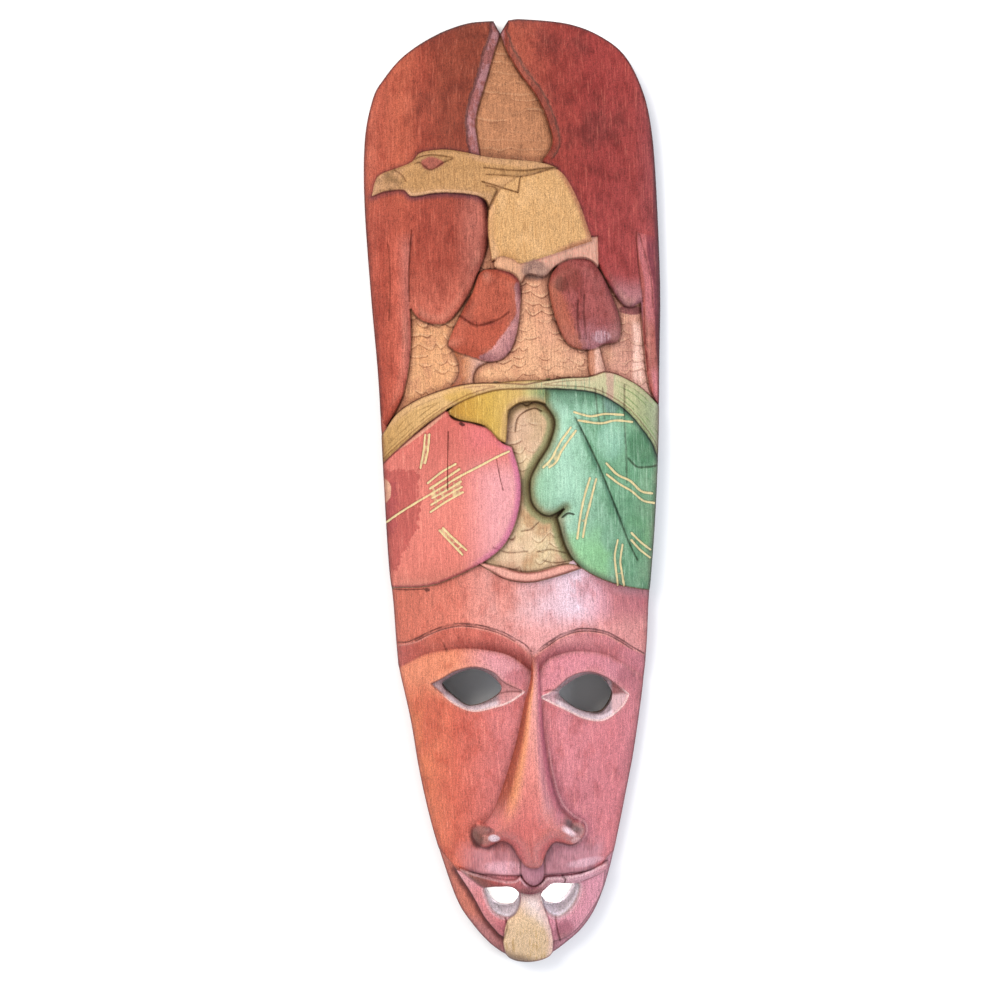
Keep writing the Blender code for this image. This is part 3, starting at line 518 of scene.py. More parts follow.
def hollow_height(at, outline):
    """The scooped back: flat on the rim, then a steep side that rounds into a shell of even thickness."""
    side = SCOOP_SLOPE * (inside_depth(outline, at) - RIM)
    roof = blank_height(at) - SHELL
    mixed = 0.5 * (side + roof - np.sqrt((side - roof) ** 2 + SCOOP_BLEND ** 2)) + 0.2 * SCOOP_BLEND
    return np.where(side <= 0, 0.0, np.clip(np.minimum(mixed, side), 0, None))


def gouge_cuts(at):
    """Rows of overlapping gouge cuts like fish scales.

    Gives how far up its own scale each point lies, from 0 to 1, and how hard the nearest one was cut.
    """
    x, y = at.T
    in_tear = y > TEAR_FOOT
    width = np.where(in_tear, TEAR_GOUGE_WIDTH, GOUGE_WIDTH)
    sag = np.where(in_tear, TEAR_GOUGE_SAG, GOUGE_SAG)
    pitch = np.where(in_tear, TEAR_GOUGE_PITCH, GOUGE_PITCH)
    up = (y + 1.6 * unevenness(at, 22, 50, 3) + 1.2 * unevenness(at, 5, 9, 13)) / pitch
    across = x + 2.5 * unevenness(at, 9, 7, 21)

    def along(row):
        return across / width + 0.5 * (row % 2) + 0.8 * chance(row, 0 * row, 5)

    def lower_edge(row):
        place = along(row)
        scale = np.floor(place)
        shift = 0.5 * (chance(row, scale, 6) - 0.5)
        arc = sag * (0.5 + chance(row, scale, 7))
        return row + shift - arc * (1 - (2 * (place - scale) - 1) ** 2)

    row = np.floor(up)
    row = np.where(up >= lower_edge(row + 1), row + 1, row)
    row = np.where(up < lower_edge(row), row - 1, row)
    low = lower_edge(row)
    share = np.clip((up - low) / np.maximum(lower_edge(row + 1) - low, 0.2), 0, 1)
    nearest = row + (share > 0.5)
    return share, 0.25 + 0.95 * chance(nearest, np.floor(along(nearest)), 9)


def ground_height(at, marks):
    """The cut-away ground: rough rows of gouge cuts, fading out and coming back."""
    x, y = at.T
    share, force = gouge_cuts(at)
    strength = 0.45 * ease((y + 8) / 20) + 0.55 * ease((y - 46) / 8) - 0.65 * ease((y - TEAR_FOOT) / 6)
    strength = (strength + 0.6 * ease((-y - 14) / 14)) * (1 - 0.3 * ease((-28 - x) / 8))
    marks["gouges"] = ease(0.8 + 0.9 * unevenness(at, 17, 12, 8)) * strength * force
    marks["gouge_cosine"], marks["gouge_sine"] = np.cos(share * math.tau), np.sin(share * math.tau)
    return GROUND + 0.3 - GOUGE_DEPTH * marks["gouges"] * share ** 1.4 + 0.16 * unevenness(at, 3.0, 5.0, 4)


def face_height(at, marks):
    """The face relative to the blank: a sunk forehead, brows that roll in to a crease, and eyelids."""
    x, y = at.T
    under_brow = marks["brow"]
    under_crease = marks["crease"]
    span = np.maximum(under_brow - under_crease, 0.1)
    roll = np.clip(under_brow / span, 0, 1) ** BROW_ROLL
    sunk = np.where(under_crease > 0, np.exp(-np.maximum(under_crease, 0) / LID_FALL), roll)
    height = -SOCKET * sunk * (1 - 0.5 * np.clip(np.abs(x) / (HALF_WIDTH - SHELL), 0, 1) ** 3)
    height += FOREHEAD * ease((y - FOREHEAD_FOOT) / FOREHEAD_RUN)
    for eye, pupil in EYES:
        depth = depth_in(eye, at)
        inner = depth_in(pupil, at)
        share = np.clip(depth / np.maximum(depth - inner, 0.05), 0, 1)
        height += LID_RISE * np.exp(-np.minimum(depth, 0) ** 2 / LID_SPREAD)
        height -= (LID_CUT + LID_RISE) * ease(depth / CUT + 0.5) + EYE_CHAMFER * share
        marks["eyes"] = np.maximum(marks["eyes"], depth)
    beside_mouth = ease((np.abs(x - 2) - LIP_HALF_WIDTH) / LIP_FADE)
    height += LIP_PUSH * ease((LIP_TOP - y) / LIP_RUN) * (1 - beside_mouth)
    return height + 0.10 * unevenness(at, 7, 11, 6)


def nose_height(at, under, marks):
    """The nose over what lies under it: a thin bridge that swells to the tip and to two round nostrils."""
    x, y = at.T
    down = np.clip((NOSE_TOP - y) / NOSE_RUN, 0, 1)
    middle = ROOT_MIDDLE + (TIP_MIDDLE - ROOT_MIDDLE) * down
    ridge = -1 + (NOSE_TIP + 1) * down ** 0.95
    ridge -= TIP_DROP * np.clip((TIP_TOP - y) / TIP_RUN, 0, 1) ** 2
    wings = NOSE_WINGS * np.clip(np.abs(x - middle) / NOSE_HALF_WIDTH, 0, 1) ** 1.3
    rise = np.maximum(ridge - under, 0) * (1 - wings) * ease((NOSE_ROOT - y) / NOSE_EMERGES)
    depth = depth_in(NOSE, at)
    lopsided = 0.22 * np.tanh((x - middle) / 4) * ease(5 * (1 - down))
    swell = (BRIDGE_SWELL + TIP_SWELL * down ** 1.3) * (1 - lopsided)
    rounded = 1 - (1 - np.clip(depth / swell, 0, 1)) ** 2.3
    step = NOSE_CUT + TIP_CUT * ease((TIP_CUT_FROM - y) / TIP_CUT_RUN)
    height = under + rise * ease(depth / CUT + 0.5) * (step + (1 - step) * rounded)
    balls = np.full(len(at), UNMARKED)
    for cx, cy in NOSTRILS:
        away = np.hypot(x - cx, y - cy)
        square = NOSTRIL_RADIUS ** 2 - away ** 2
        ball = under + NOSTRIL_CENTRE + np.sqrt(np.maximum(square, 0))
        height = np.where(square > 0, np.maximum(height, ball), height)
        balls = np.maximum(balls, NOSTRIL_RADIUS - away)
    marks["nose"] = depth
    marks["nostrils"] = balls
    return height


def cut_lines(at, height, marks):
    """The fine V cuts, and the pale strokes cut through the stain."""
    for name, cuts in (("dark_cuts", DARK_CUTS), ("soft_cuts", SOFT_CUTS), ("pale_cuts", PALE_CUTS)):
        for cut in cuts:
            half = cut.width / 2
            depth = half - distance_from(open_line(cut.points), at, half + 3)
            marks[name] = np.maximum(marks[name], depth)
            height = height - cut.depth * ease(depth / half)
    return height


def carve(at, outline):
    """Height of the carved front at each point, and how deep each point lies in every stained figure."""
    names = {figure.mark for figure in FIGURES}
    names |= {"eyes", "dark_cuts", "soft_cuts", "pale_cuts", "mouths", "strips"}
    marks = {name: np.full(len(at), UNMARKED) for name in sorted(names)}
    x, y = at.T
    marks["face"] = y * -1 + GROUND_FOOT + GROUND_ARCH * (x - GROUND_MIDDLE) ** 2
    marks["brow"] = depth_in(BROW, at)
    marks["crease"] = depth_in(CREASE, at)
    marks["bevel"] = depth_in([LEFT_BEVEL], at)
    marks["bird_eye"] = depth_in([BIRD_EYE], at)
    for strip in (LEFT_STRIP, RIGHT_STRIP):
        marks["strips"] = np.maximum(marks["strips"], depth_in([strip], at))
    relief = np.where(marks["face"] < 0, ground_height(at, marks), face_height(at, marks))
    in_tear = ease((y - 166) / 8)
    for figure in FIGURES:
        depth = depth_in(figure.runs, at)
        top = figure.level - figure.fall * (1 - np.clip(depth / figure.width, 0, 1)) ** 2
        if figure.tear_drop:
            bevelled = figure.level - figure.tear_drop * (1 - np.clip(depth / figure.tear_width, 0, 1))
            top = top + (bevelled - top) * in_tear
        if figure.runs is THIGH_LEFT:
            share = np.clip(marks["bevel"] / np.maximum(marks["bevel"] + depth, 0.05), 0, 1)
            top = top - 1.6 * share
        relief = relief + (top - relief) * ease(depth / CUT + 0.5)
        marks[figure.mark] = np.maximum(marks[figure.mark], depth)
    for over in ("pink", "green", "arch", "band"):
        marks["face"] = np.minimum(marks["face"], -marks[over])
    rough = np.hypot((x - ROUGH_MIDDLE[0]) / ROUGH_SIZE[0], (y - ROUGH_MIDDLE[1]) / ROUGH_SIZE[1])
    relief = relief + ROUGH_LIFT * ease(1.6 - 1.3 * rough) * (0.5 + 0.5 * unevenness(at, 1.6, 1.6, 9))
    stained = np.maximum(marks["wings"], np.maximum(marks["pink"], marks["green"]))
    relief = relief + 0.12 * unevenness(at, 6, 14, 7) * ease(stained / 3)
    height = blank_height(at) + nose_height(at, relief, marks)
    height = cut_lines(at, height, marks)
    edge = np.clip(inside_depth(outline, at, EDGE_ROUND), 0, EDGE_ROUND)
    marks["rim"] = edge
    height = height - EDGE_DROP * (1 - edge / EDGE_ROUND) ** 2
    ledge = np.minimum(hollow_height(at, outline) + LEDGE, height)
    for mouth, gap in MOUTHS:
        outer = depth_in(mouth, at)
        inner = depth_in(gap, at)
        share = np.where(inner > 0, 1.0, np.clip(outer / np.maximum(outer - inner, 0.05), 0, 1) ** 0.8)
        height = height + (ledge - height) * np.where(outer > 0, share, 0)
        marks["mouths"] = np.maximum(marks["mouths"], outer)
    return height, marks


def turned_outwards(line):
    """The outward direction at each point of a closed line."""
    along = np.roll(line, -1, axis=0) - np.roll(line, 1, axis=0)
    along /= np.linalg.norm(along, axis=1)[:, None] + 1e-12
    x, y = line.T
    area = float(np.sum(x * np.roll(y, -1) - y * np.roll(x, -1)))
    return np.stack([along[:, 1], -along[:, 0]], axis=1) * (1 if area > 0 else -1)


def counterclockwise(line):
    x, y = line.T
    return line if np.sum(x * np.roll(y, -1) - y * np.roll(x, -1)) > 0 else line[::-1].copy()


class Layout:
    """Points of a flat sheet, and the segments between them that its triangles have to keep."""

    def __init__(self, loops):
        self.points = []
        self.segments = []
        for loop in loops:
            self.follow(loop, np.ones(len(loop), bool), True)
        self.border = len(self.points)

    def follow(self, line, shown, closed):
        """Adds the shown points of a line, and a segment wherever two neighbours are both shown."""
        index = np.full(len(line), -1)
        index[shown] = len(self.points) + np.arange(int(shown.sum()))
        self.points += [tuple(point) for point in line[shown]]
        following = np.roll(index, -1)
        if not closed:
            following[-1] = -1
        both = (index >= 0) & (following >= 0)
        self.segments += list(zip(index[both].tolist(), following[both].tolist()))

    def fill(self, free_of, step, clearance):
        """Fills the open stretches with a triangular grid, clear of the points already there."""
        taken = np.array(self.points)
        low, high = taken.min(axis=0), taken.max(axis=0)
        rows = np.arange(low[1], high[1], step * 0.866)
        columns = np.arange(low[0], high[0], step)
        x = columns[None, :] + (np.arange(len(rows)) % 2)[:, None] * step / 2
        grid = np.stack([x, np.repeat(rows[:, None], len(columns), axis=1)], axis=2).reshape(-1, 2)
        for line, sign in free_of:
            grid = grid[sign * inside_depth(line, grid, 2 * clearance) > clearance]
        cell = clearance / 1.5
        blocked = np.zeros(tuple(np.ceil((high - low) / cell).astype(int) + 5), bool)
        column, row = np.floor((taken - low) / cell).astype(int).T + 2
        for across in (-1, 0, 1):
            for along in (-1, 0, 1):
                blocked[column + across, row + along] = True
        column, row = np.floor((grid - low) / cell).astype(int).T + 2
        self.points += [tuple(point) for point in grid[~blocked[column, row]]]

    def sheet(self, outline, holes):
        """The sheet's points and triangles, with the holes left open."""
        points = [Vector(point) for point in self.points]
        vertices, _, faces, _, _, _ = delaunay_2d_cdt(points, self.segments, [], 0, 1e-4)
        flat = np.array([v[:] for v in vertices])
        faces = np.array(faces)
        doubtful = np.flatnonzero((faces < self.border).all(axis=1))
        middles = flat[faces[doubtful]].mean(axis=1)
        kept = inside_depth(outline, middles) > 0
        for hole in holes:
            kept &= inside_depth(hole, middles) < 0
        keep = np.ones(len(faces), bool)
        keep[doubtful] = kept
        return flat, faces[keep]


def carved_lines():
    """Each line of the carving with the offsets, outwards, at which the mesh follows it, in carving order."""
    edge = (CUT / 2, -CUT / 2)
    lines = [(BROW, (0,)), (CREASE, (1.5, 0, -1.5)), (EYE_LEFT, edge), (EYE_RIGHT, edge)]
    for figure in FIGURES:
        ridge = (-figure.tear_width,) if figure.tear_drop else ()
        lines.append((figure.runs, edge + ridge))
    lines.append((NOSE, edge))
    lines += [(mouth, (0.2,)) for mouth, _ in MOUTHS]
    return lines


def front_layout(outline, holes):
    layout = Layout([outline] + holes)
    lines = [(closed_line(runs), offsets) for runs, offsets in carved_lines()]
    lines.insert(0, (outline, (-0.9, -1.9)))
    for order, (traced, offsets) in enumerate(lines):
        outward = turned_outwards(traced)
        for offset in offsets:
            moved = traced + offset * outward
            shown = np.abs(inside_depth(traced, moved) + offset) < 0.2
            shown &= inside_depth(outline, moved) > 0.5
            for hole in holes:
                shown &= inside_depth(hole, moved) < -0.5
            for over, _ in lines[max(order, LAST_UNCOVERING) + 1:]:
                shown &= inside_depth(over, moved) < -(CUT / 2 + 0.4)
            layout.follow(moved, shown, True)
    figures_done = np.array(layout.points)
    for cut in DARK_CUTS + SOFT_CUTS + PALE_CUTS:
        line = open_line(cut.points)
        outward = turned_outwards(line)
        outward[[0, -1]] = outward[[1, -2]]
        for offset in (-cut.width / 2, 0, cut.width / 2):
            moved = line + offset * outward
            clear = np.array([np.min(np.sum((figures_done - p) ** 2, axis=1)) for p in moved]) > 0.4 ** 2
            clear &= inside_depth(outline, moved) > 0.5
            for hole in holes:
                clear &= inside_depth(hole, moved) < -0.5
            layout.follow(moved, clear, False)
    layout.fill([(outline, 1)] + [(hole, -1) for hole in holes], FINE, 0.62)
    return layout


def back_layout(back_outline, traced, holes):
    layout = Layout([back_outline] + holes)
    outward = turned_outwards(traced)
    for inset in (4.5, RIM, RIM + 3, RIM + 7):
        moved = (traced - inset * outward)[::3]
        shown = np.abs(inside_depth(traced, moved) - inset) < 0.3
        for hole in holes:
            shown &= inside_depth(hole, moved) < -2
        layout.follow(moved, shown, True)
    layout.fill([(back_outline, 1)] + [(hole, -1) for hole in holes], BACK_STEP, 2.2)
    return layout


def hollowness(flat, heights, radius=3):
    """How far each point lies below the average of what surrounds it."""
    place = flat - flat.min(axis=0) + 4 * radius
    cell = np.floor(place).astype(int)
    shape = tuple(cell.max(axis=0) + 4 * radius)
    total, count = np.zeros(shape), np.zeros(shape)
    share = place - cell
    corners = [(across, along, np.abs(1 - across - share[:, 0]) * np.abs(1 - along - share[:, 1]))
               for across in (0, 1) for along in (0, 1)]
    for across, along, weight in corners:
        np.add.at(total, (cell[:, 0] + across, cell[:, 1] + along), heights * weight)
        np.add.at(count, (cell[:, 0] + across, cell[:, 1] + along), weight)
    for _ in range(2):
        for axis in (0, 1):
            total = sum(np.roll(total, shift, axis) for shift in range(-radius, radius + 1))
            count = sum(np.roll(count, shift, axis) for shift in range(-radius, radius + 1))
    average = total / np.maximum(count, 1e-9)
    around = sum(average[cell[:, 0] + across, cell[:, 1] + along] * weight
                 for across, along, weight in corners)
    return around - heights


def wall_faces(upper, lower, outer):
    """Four-sided faces between two rings of vertices, level with each other, facing out of the wood."""
    upper, lower = np.asarray(upper), np.asarray(lower)
    faces = np.stack([upper, lower, np.roll(lower, -1), np.roll(upper, -1)], axis=1)
    return faces if outer else faces[:, ::-1]


def painted_sheet_place(place, on_back):
    """Where each face corner lies on the square that the finish is painted on."""
    upper_half = place[:, :, 1].mean(axis=1) > 0
    wide = 2 * (HALF_WIDTH + SHEET_FOLD)
    front = np.empty_like(place)
    front[:, :, 0] = (place[:, :, 0] + HALF_WIDTH + SHEET_FOLD) / wide / 2
    front[:, :, 0] += np.where(upper_half, 0, 0.5)[:, None]
    lift = np.where(upper_half, SHEET_GAP, LENGTH / 2 + SHEET_FOLD)
    front[:, :, 1] = (place[:, :, 1] + lift[:, None]) / wide / 2
    scale = SHEET_FILL / LENGTH * BACK_SHRINK
    back = np.empty_like(place)
    back[:, :, 0] = BACK_CORNER[0] + (place[:, :, 1] + LENGTH / 2) * scale
    back[:, :, 1] = BACK_CORNER[1] - (place[:, :, 0] + HALF_WIDTH) * scale
    return np.where(on_back[:, None, None], back, front)


def carved_board():
    """The whole mask as one closed mesh, with the marks that its finish reads."""
    traced = counterclockwise(closed_line(OUTLINE, 1.2))
    outward = turned_outwards(traced)
    rim = traced - RIM_CHAMFER * outward
    holes = [counterclockwise(closed_line(runs)) for runs in HOLES]
    front, front_faces = front_layout(traced, holes).sheet(traced, holes)
    back, back_faces = back_layout(rim, traced, holes).sheet(rim, holes)
    height, marks = carve(front, traced)
    scoop = ease((inside_depth(traced, back) - RIM) / 5)
    tool_marks = 0.35 * np.abs(unevenness(back, 11, 22, 11)) + 0.15 * unevenness(back, 5, 9, 12)
    hollow = np.maximum(hollow_height(back, traced) - scoop * np.abs(tool_marks), 0)

    count = len(traced)
    ring = np.arange(count)
    middle, side = len(front) + len(back) + ring, len(front) + len(back) + count + ring
    vertices = np.zeros((side[-1] + 1, 3))
    vertices[: len(front)] = np.column_stack([front, height])
    vertices[len(front) : middle[0]] = np.column_stack([back, hollow])
    vertices[middle] = np.column_stack([traced, height[:count] / 2])
    vertices[side] = np.column_stack([traced, np.full(count, RIM_CHAMFER)])

    walls = [wall_faces(ring, middle, True), wall_faces(middle, side, True),
             wall_faces(side, len(front) + ring, True)]
    folded = vertices[:, :2].copy()
    folded[middle] += outward * (height[:count] / 2)[:, None]
    folded[side] += outward * (height[:count] - RIM_CHAMFER)[:, None]
    folded[len(front) + ring] = traced + outward * (height[:count] + 0.4)[:, None]
    start = count
    for hole in holes:
        top = start + np.arange(len(hole))
        bottom = len(front) + top
        walls.append(wall_faces(top, bottom, False))
        drop = vertices[top, 2] - vertices[bottom, 2]
        folded[bottom] = hole - turned_outwards(hole) * 0.7 * drop[:, None]
        start += len(hole)

    walls = np.vstack(walls)
    back_faces = back_faces[:, ::-1] + len(front)
    data = bpy.data.meshes.new("carved_mask")
    faces = front_faces.tolist() + back_faces.tolist() + walls.tolist()
    data.from_pydata((vertices * METRES).tolist(), [], faces)

    paint = data.uv_layers.new(name="OFBake")
    flat = vertices[:, :2]
    parts = [painted_sheet_place(flat[front_faces], np.zeros(len(front_faces), bool)),
             painted_sheet_place(flat[back_faces], np.ones(len(back_faces), bool)),
             painted_sheet_place(folded[walls], np.zeros(len(walls), bool))]
    paint.data.foreach_set("uv", np.concatenate([part.reshape(-1) for part in parts]).astype(np.float32))

    marks["hollowness"] = hollowness(front, height)
    for name in sorted(marks):
        values = np.full(len(vertices), 0.0 if name in ("hollowness", "rim") else UNMARKED)
        values[: len(front)] = marks[name]
        values[len(front) : len(front) + start] = marks[name][:start]
        values[middle] = values[side] = marks[name][:count]
        store_mark(data, name, values)
        marks[name] = values
    inner = np.zeros(len(vertices))
    inner[len(front) : middle[0]] = 1
    inner[side] = 0.3
    store_mark(data, "inner", inner)
    finishes = [finish_of(part, flat, marks) for part in (front_faces, back_faces, walls)]
    data.polygons.foreach_set("material_index", np.concatenate(finishes))
    data.shade_smooth()
    data.set_sharp_from_angle(angle=math.radians(SHARP_ANGLE))
    return data


def finish_of(faces, flat, marks):
    """Which finish each face takes: 0 the bird's panel, 1 the roundel under it, 2 the face."""
    roundel = ("band", "pink", "green", "yellow", "arch")
    reach = {name: marks[name][faces].max(axis=1) for name in roundel + ("face",)}
    disc = np.maximum.reduce([reach[name] for name in roundel]) > -FINISH_OVERLAP
    x, y = flat[faces].mean(axis=1).T
    bowl = (np.abs(x - 8) < 30) & (y < 45) & (reach["face"] < 0)
    return np.where(disc | bowl, 1, np.where(reach["face"] > -FINISH_OVERLAP, 2, 0)).astype(np.int32)


def store_mark(data, name, values):
    attribute = data.attributes.new(name, "FLOAT", "POINT")
    attribute.data.foreach_set("value", values.astype(np.float32))


def dye(colour):
    """A stain from its red, green and blue on a painter's chart, each up to 255.

    A mixture stays as it is, and so does a stain given as four shares of light.
    """
    if isinstance(colour, Amount) or len(colour) == 4:
        return colour
    parts = (channel / 255 for channel in colour)
    return tuple(((part + 0.055) / 1.055) ** 2.4 for part in parts) + (1.0,)


class Amount:
    """A number in a material. Ordinary arithmetic on it adds the Math nodes."""

    def __init__(self, recipe, socket):
        self.recipe = recipe
        self.socket = socket

    def maths(self, operation, *values):
        sockets = dict(enumerate(values))
        return self.recipe.node("ShaderNodeMath", {"operation": operation}, sockets)

    def __add__(self, other):
        return self.maths("ADD", self, other)

    def __radd__(self, other):
        return self.maths("ADD", other, self)

    def __sub__(self, other):
        return self.maths("SUBTRACT", self, other)

    def __rsub__(self, other):
        return self.maths("SUBTRACT", other, self)

    def __mul__(self, other):
        return self.maths("MULTIPLY", self, other)

    def __rmul__(self, other):
        return self.maths("MULTIPLY", other, self)

    def __truediv__(self, other):
        return self.maths("DIVIDE", self, other)

    def __pow__(self, other):
        return self.maths("POWER", self, other)

    def __abs__(self):
        return self.maths("ABSOLUTE", self)

    def rise(self, low, high):
        """0 below low, 1 above high, smooth between, or falling where high is the lower."""
        return self.recipe.node("ShaderNodeMapRange", {"interpolation_type": "SMOOTHSTEP"},
                                {0: self, 1: low, 2: high, 3: 0.0, 4: 1.0})

    def most(self, other):
        return self.maths("MAXIMUM", self, other)

    def least(self, other):
        return self.maths("MINIMUM", self, other)


class Colour(Amount):
    """A colour in a material, built up in place."""

    def lay(self, colour, share):
        """Lays a dye or a mixture over it, by its share."""
        self.socket = self.recipe.over(self, colour, share).socket

    def tint(self, colour, share):
        """Darkens it by a dye, by its share."""
        self.socket = self.recipe.tinted(self, colour, share).socket


class Recipe:
    """A finish: one method adds any node, and the others are the mixtures built from it."""

    def __init__(self, name):
        self.material = bpy.data.materials.new(name)
        self.material.use_nodes = True
        self.tree = self.material.node_tree
        self.tree.nodes.clear()
        self.known_marks = {}
        self.place = self.node("ShaderNodeVectorMath", {"operation": "SCALE"},
                               {0: self.node("ShaderNodeTexCoord", {}, {}, 3), 3: 1000.0})
        self.x, self.y = (self.node("ShaderNodeSeparateXYZ", {}, {0: self.place}, axis) for axis in range(2))
        self.cloud = self.clouds(26, 34, 1, 3.0)
        self.mottle = self.clouds(8, 12, 2, 4.0, 0.6)
        self.drift = self.clouds(2.4, 3.2, 3) - 0.5
        self.grain = self.clouds(0.9, 15, 4, 4.0, 0.6)
        self.fine_grain = self.clouds(0.42, 3.0, 5, 2.0, 0.6)
        self.speckle = self.clouds(0.5, 0.6, 6, 2.0, 0.7)

    def node(self, kind, settings, sockets, output=0):
        made = self.tree.nodes.new(kind)
        for name, value in settings.items():
            if name == "stops":
                self.set_stops(made.color_ramp, value)
            else:
                setattr(made, name, value)
        for key, value in sockets.items():
            if isinstance(value, Amount):
                self.tree.links.new(value.socket, made.inputs[key])
            else:
                made.inputs[key].default_value = value
        if not len(made.outputs):
            return made
        socket = made.outputs[output]
        return (Colour if socket.type == "RGBA" else Amount)(self, socket)

    def set_stops(self, ramp, stops):
        while len(ramp.elements) < len(stops):
            ramp.elements.new(0.5)
        for element, (position, colour) in zip(ramp.elements, stops):
            element.position = position
            element.color = colour

    def mark(self, name):
        if name not in self.known_marks:
            self.known_marks[name] = self.node("ShaderNodeAttribute", {"attribute_name": name}, {}, 2)
        return self.known_marks[name]

    def wavy(self, name, wander):
        """The depth inside a figure, with the figure's edge made to wander."""
        return self.mark(name) + self.drift * wander

    def clouds(self, across, along, seed, detail=2.0, roughness=0.5):
        """Noise of the given size in millimetres, about 0.5 on average."""
        size = self.node("ShaderNodeVectorMath", {"operation": "MULTIPLY"},
                         {0: self.place, 1: (1 / across, 1 / along, 0.25 / across)})
        moved = self.node("ShaderNodeVectorMath", {"operation": "ADD"},
                          {0: size, 1: (seed * 3.7, seed * 1.9, seed)})
        return self.node("ShaderNodeTexNoise", {}, {"Vector": moved, "Scale": 1.0, "Detail": detail,
                                                    "Roughness": roughness})

    def over(self, under, colour, share, blend="MIX"):
        """One colour laid over another by its share."""
        return self.node("ShaderNodeMix", {"data_type": "RGBA", "blend_type": blend},
                         {0: share, 6: dye(under), 7: dye(colour)}, 2)

    def tinted(self, colour, tint, share):
        return self.over(colour, tint, share, "MULTIPLY")

    def scaled(self, colour, amount):
        parts = colour if isinstance(colour, Amount) else colour[:3]
        return self.node("ShaderNodeVectorMath", {"operation": "SCALE"}, {0: parts, 3: amount})

    def ramp(self, amount, low, high, stops):
        """Colours along an amount: each stop is its value and its dye."""
        span = high - low
        share = (amount - low) / span
        placed = [((value - low) / span, dye(colour)) for value, colour in stops.items()]
        return self.node("ShaderNodeValToRGB", {"stops": placed}, {0: share})

    def filled(self, under, name, colour, line=0.4, soft=0.3, wander=0.5, inner_line=None):
        """A stain brushed inside one figure, with dust and shadow held along the cut round it."""
        depth = self.wavy(name, wander)
        edge = 1 - abs(depth + 0.3).rise(0.15, 0.95)
        edge = edge * (0.4 + self.mottle * 1.1)
        under = self.tinted(under, CUT_SHADOW, edge * line)
        colour = self.tinted(colour, CUT_SHADOW, edge * (line * 0.6 if inner_line is None else inner_line))
        return self.over(under, colour, depth.rise(-soft, soft))

    def patch(self, middle, size, soft=0.5):
        """1 in the middle of an oval of the given place and half size, falling to 0 outside it."""
        away = ((self.x - middle[0]) / size[0]) ** 2 + ((self.y - middle[1]) / size[1]) ** 2
        return (away + self.drift * 0.6).rise(1 + soft, 1 - soft)


def gouge_lips(mix):
    """The painted shadow just under the lip of each gouge cut, and the painted highlight just above it."""
    sine = mix.mark("gouge_sine")
    turn = sine.maths("ARCTAN2", sine, mix.mark("gouge_cosine")) * (1 / math.tau) + mix.drift * 0.12
    strength = mix.mark("gouges").rise(0.05, 0.8)
    return abs(turn + 0.04).rise(0.11, 0.02) * strength, abs(turn - 0.14).rise(0.14, 0.02) * strength


def ground_colour(mix):
    """Bare wood: the cut-away ground round the bird, and the tear above it."""
    x, y = mix.x, mix.y
    shadow, lip_highlight = gouge_lips(mix)
    ground = mix.ramp(x, -80, 80, {-60: (212, 152, 106), -36: (222, 162, 116), 0: (214, 154, 118),
                                   42: (212, 154, 130), 74: (218, 154, 136)})
    ground.lay((234, 184, 140), mix.cloud.rise(0.44, 0.66) * 0.4)
    ground.lay((188, 128, 98), mix.mottle.rise(0.46, 0.68) * 0.55)
    # Darker ground beside the raised figures: partly dust, partly painted shade from them.
    near = mix.mark("wings").most(mix.mark("thighs")).most(mix.mark("feet")).most(mix.mark("fringe"))
    ground.lay((158, 100, 84), near.rise(-4.5, -0.4) * (mix.mottle * 0.8) * x.rise(68, 58))
    ground.lay((255, 204, 184), x.rise(61.5, 64) * y.rise(90, 85) * 0.95)
    ground.lay((182, 122, 104), mix.patch((61.5, 79), (2.6, 12), 0.7) * 0.6)
    # Painted shadow on the step under the right wing's lobe.
    ground.lay((132, 64, 70), mix.patch((62.5, 94.2), (7, 2.4), 0.3) * 0.85)
    tear = mix.over((180, 122, 86), (150, 98, 68), mix.mottle.rise(0.42, 0.7) * 0.6)
    tear.lay((196, 142, 106), mix.cloud.rise(0.5, 0.7) * 0.6)
    ground.lay(tear, y.rise(160, 168))
    # Painted highlight just above each gouge lip.
    ground.lay((244, 200, 158), lip_highlight * 0.3)
    return mix.tinted(ground, (138, 92, 74), shadow * (0.15 + mix.mottle * 0.8))


def bowl_colour(mix):
    """Bare wood in the hollow between the leaves."""
    shadow, lip_highlight = gouge_lips(mix)
    bowl = mix.over((222, 196, 154), (192, 152, 112), mix.mottle.rise(0.42, 0.68))
    bowl.lay((198, 162, 126), mix.y.rise(14, 28) * 0.8)
    bowl.lay((236, 190, 166), mix.cloud.rise(0.48, 0.66) * 0.4)
    # Painted highlight just above each gouge lip.
    bowl.lay((252, 230, 196), lip_highlight * 0.4)
    return mix.tinted(bowl, (140, 92, 74), shadow * (0.3 + mix.mottle))


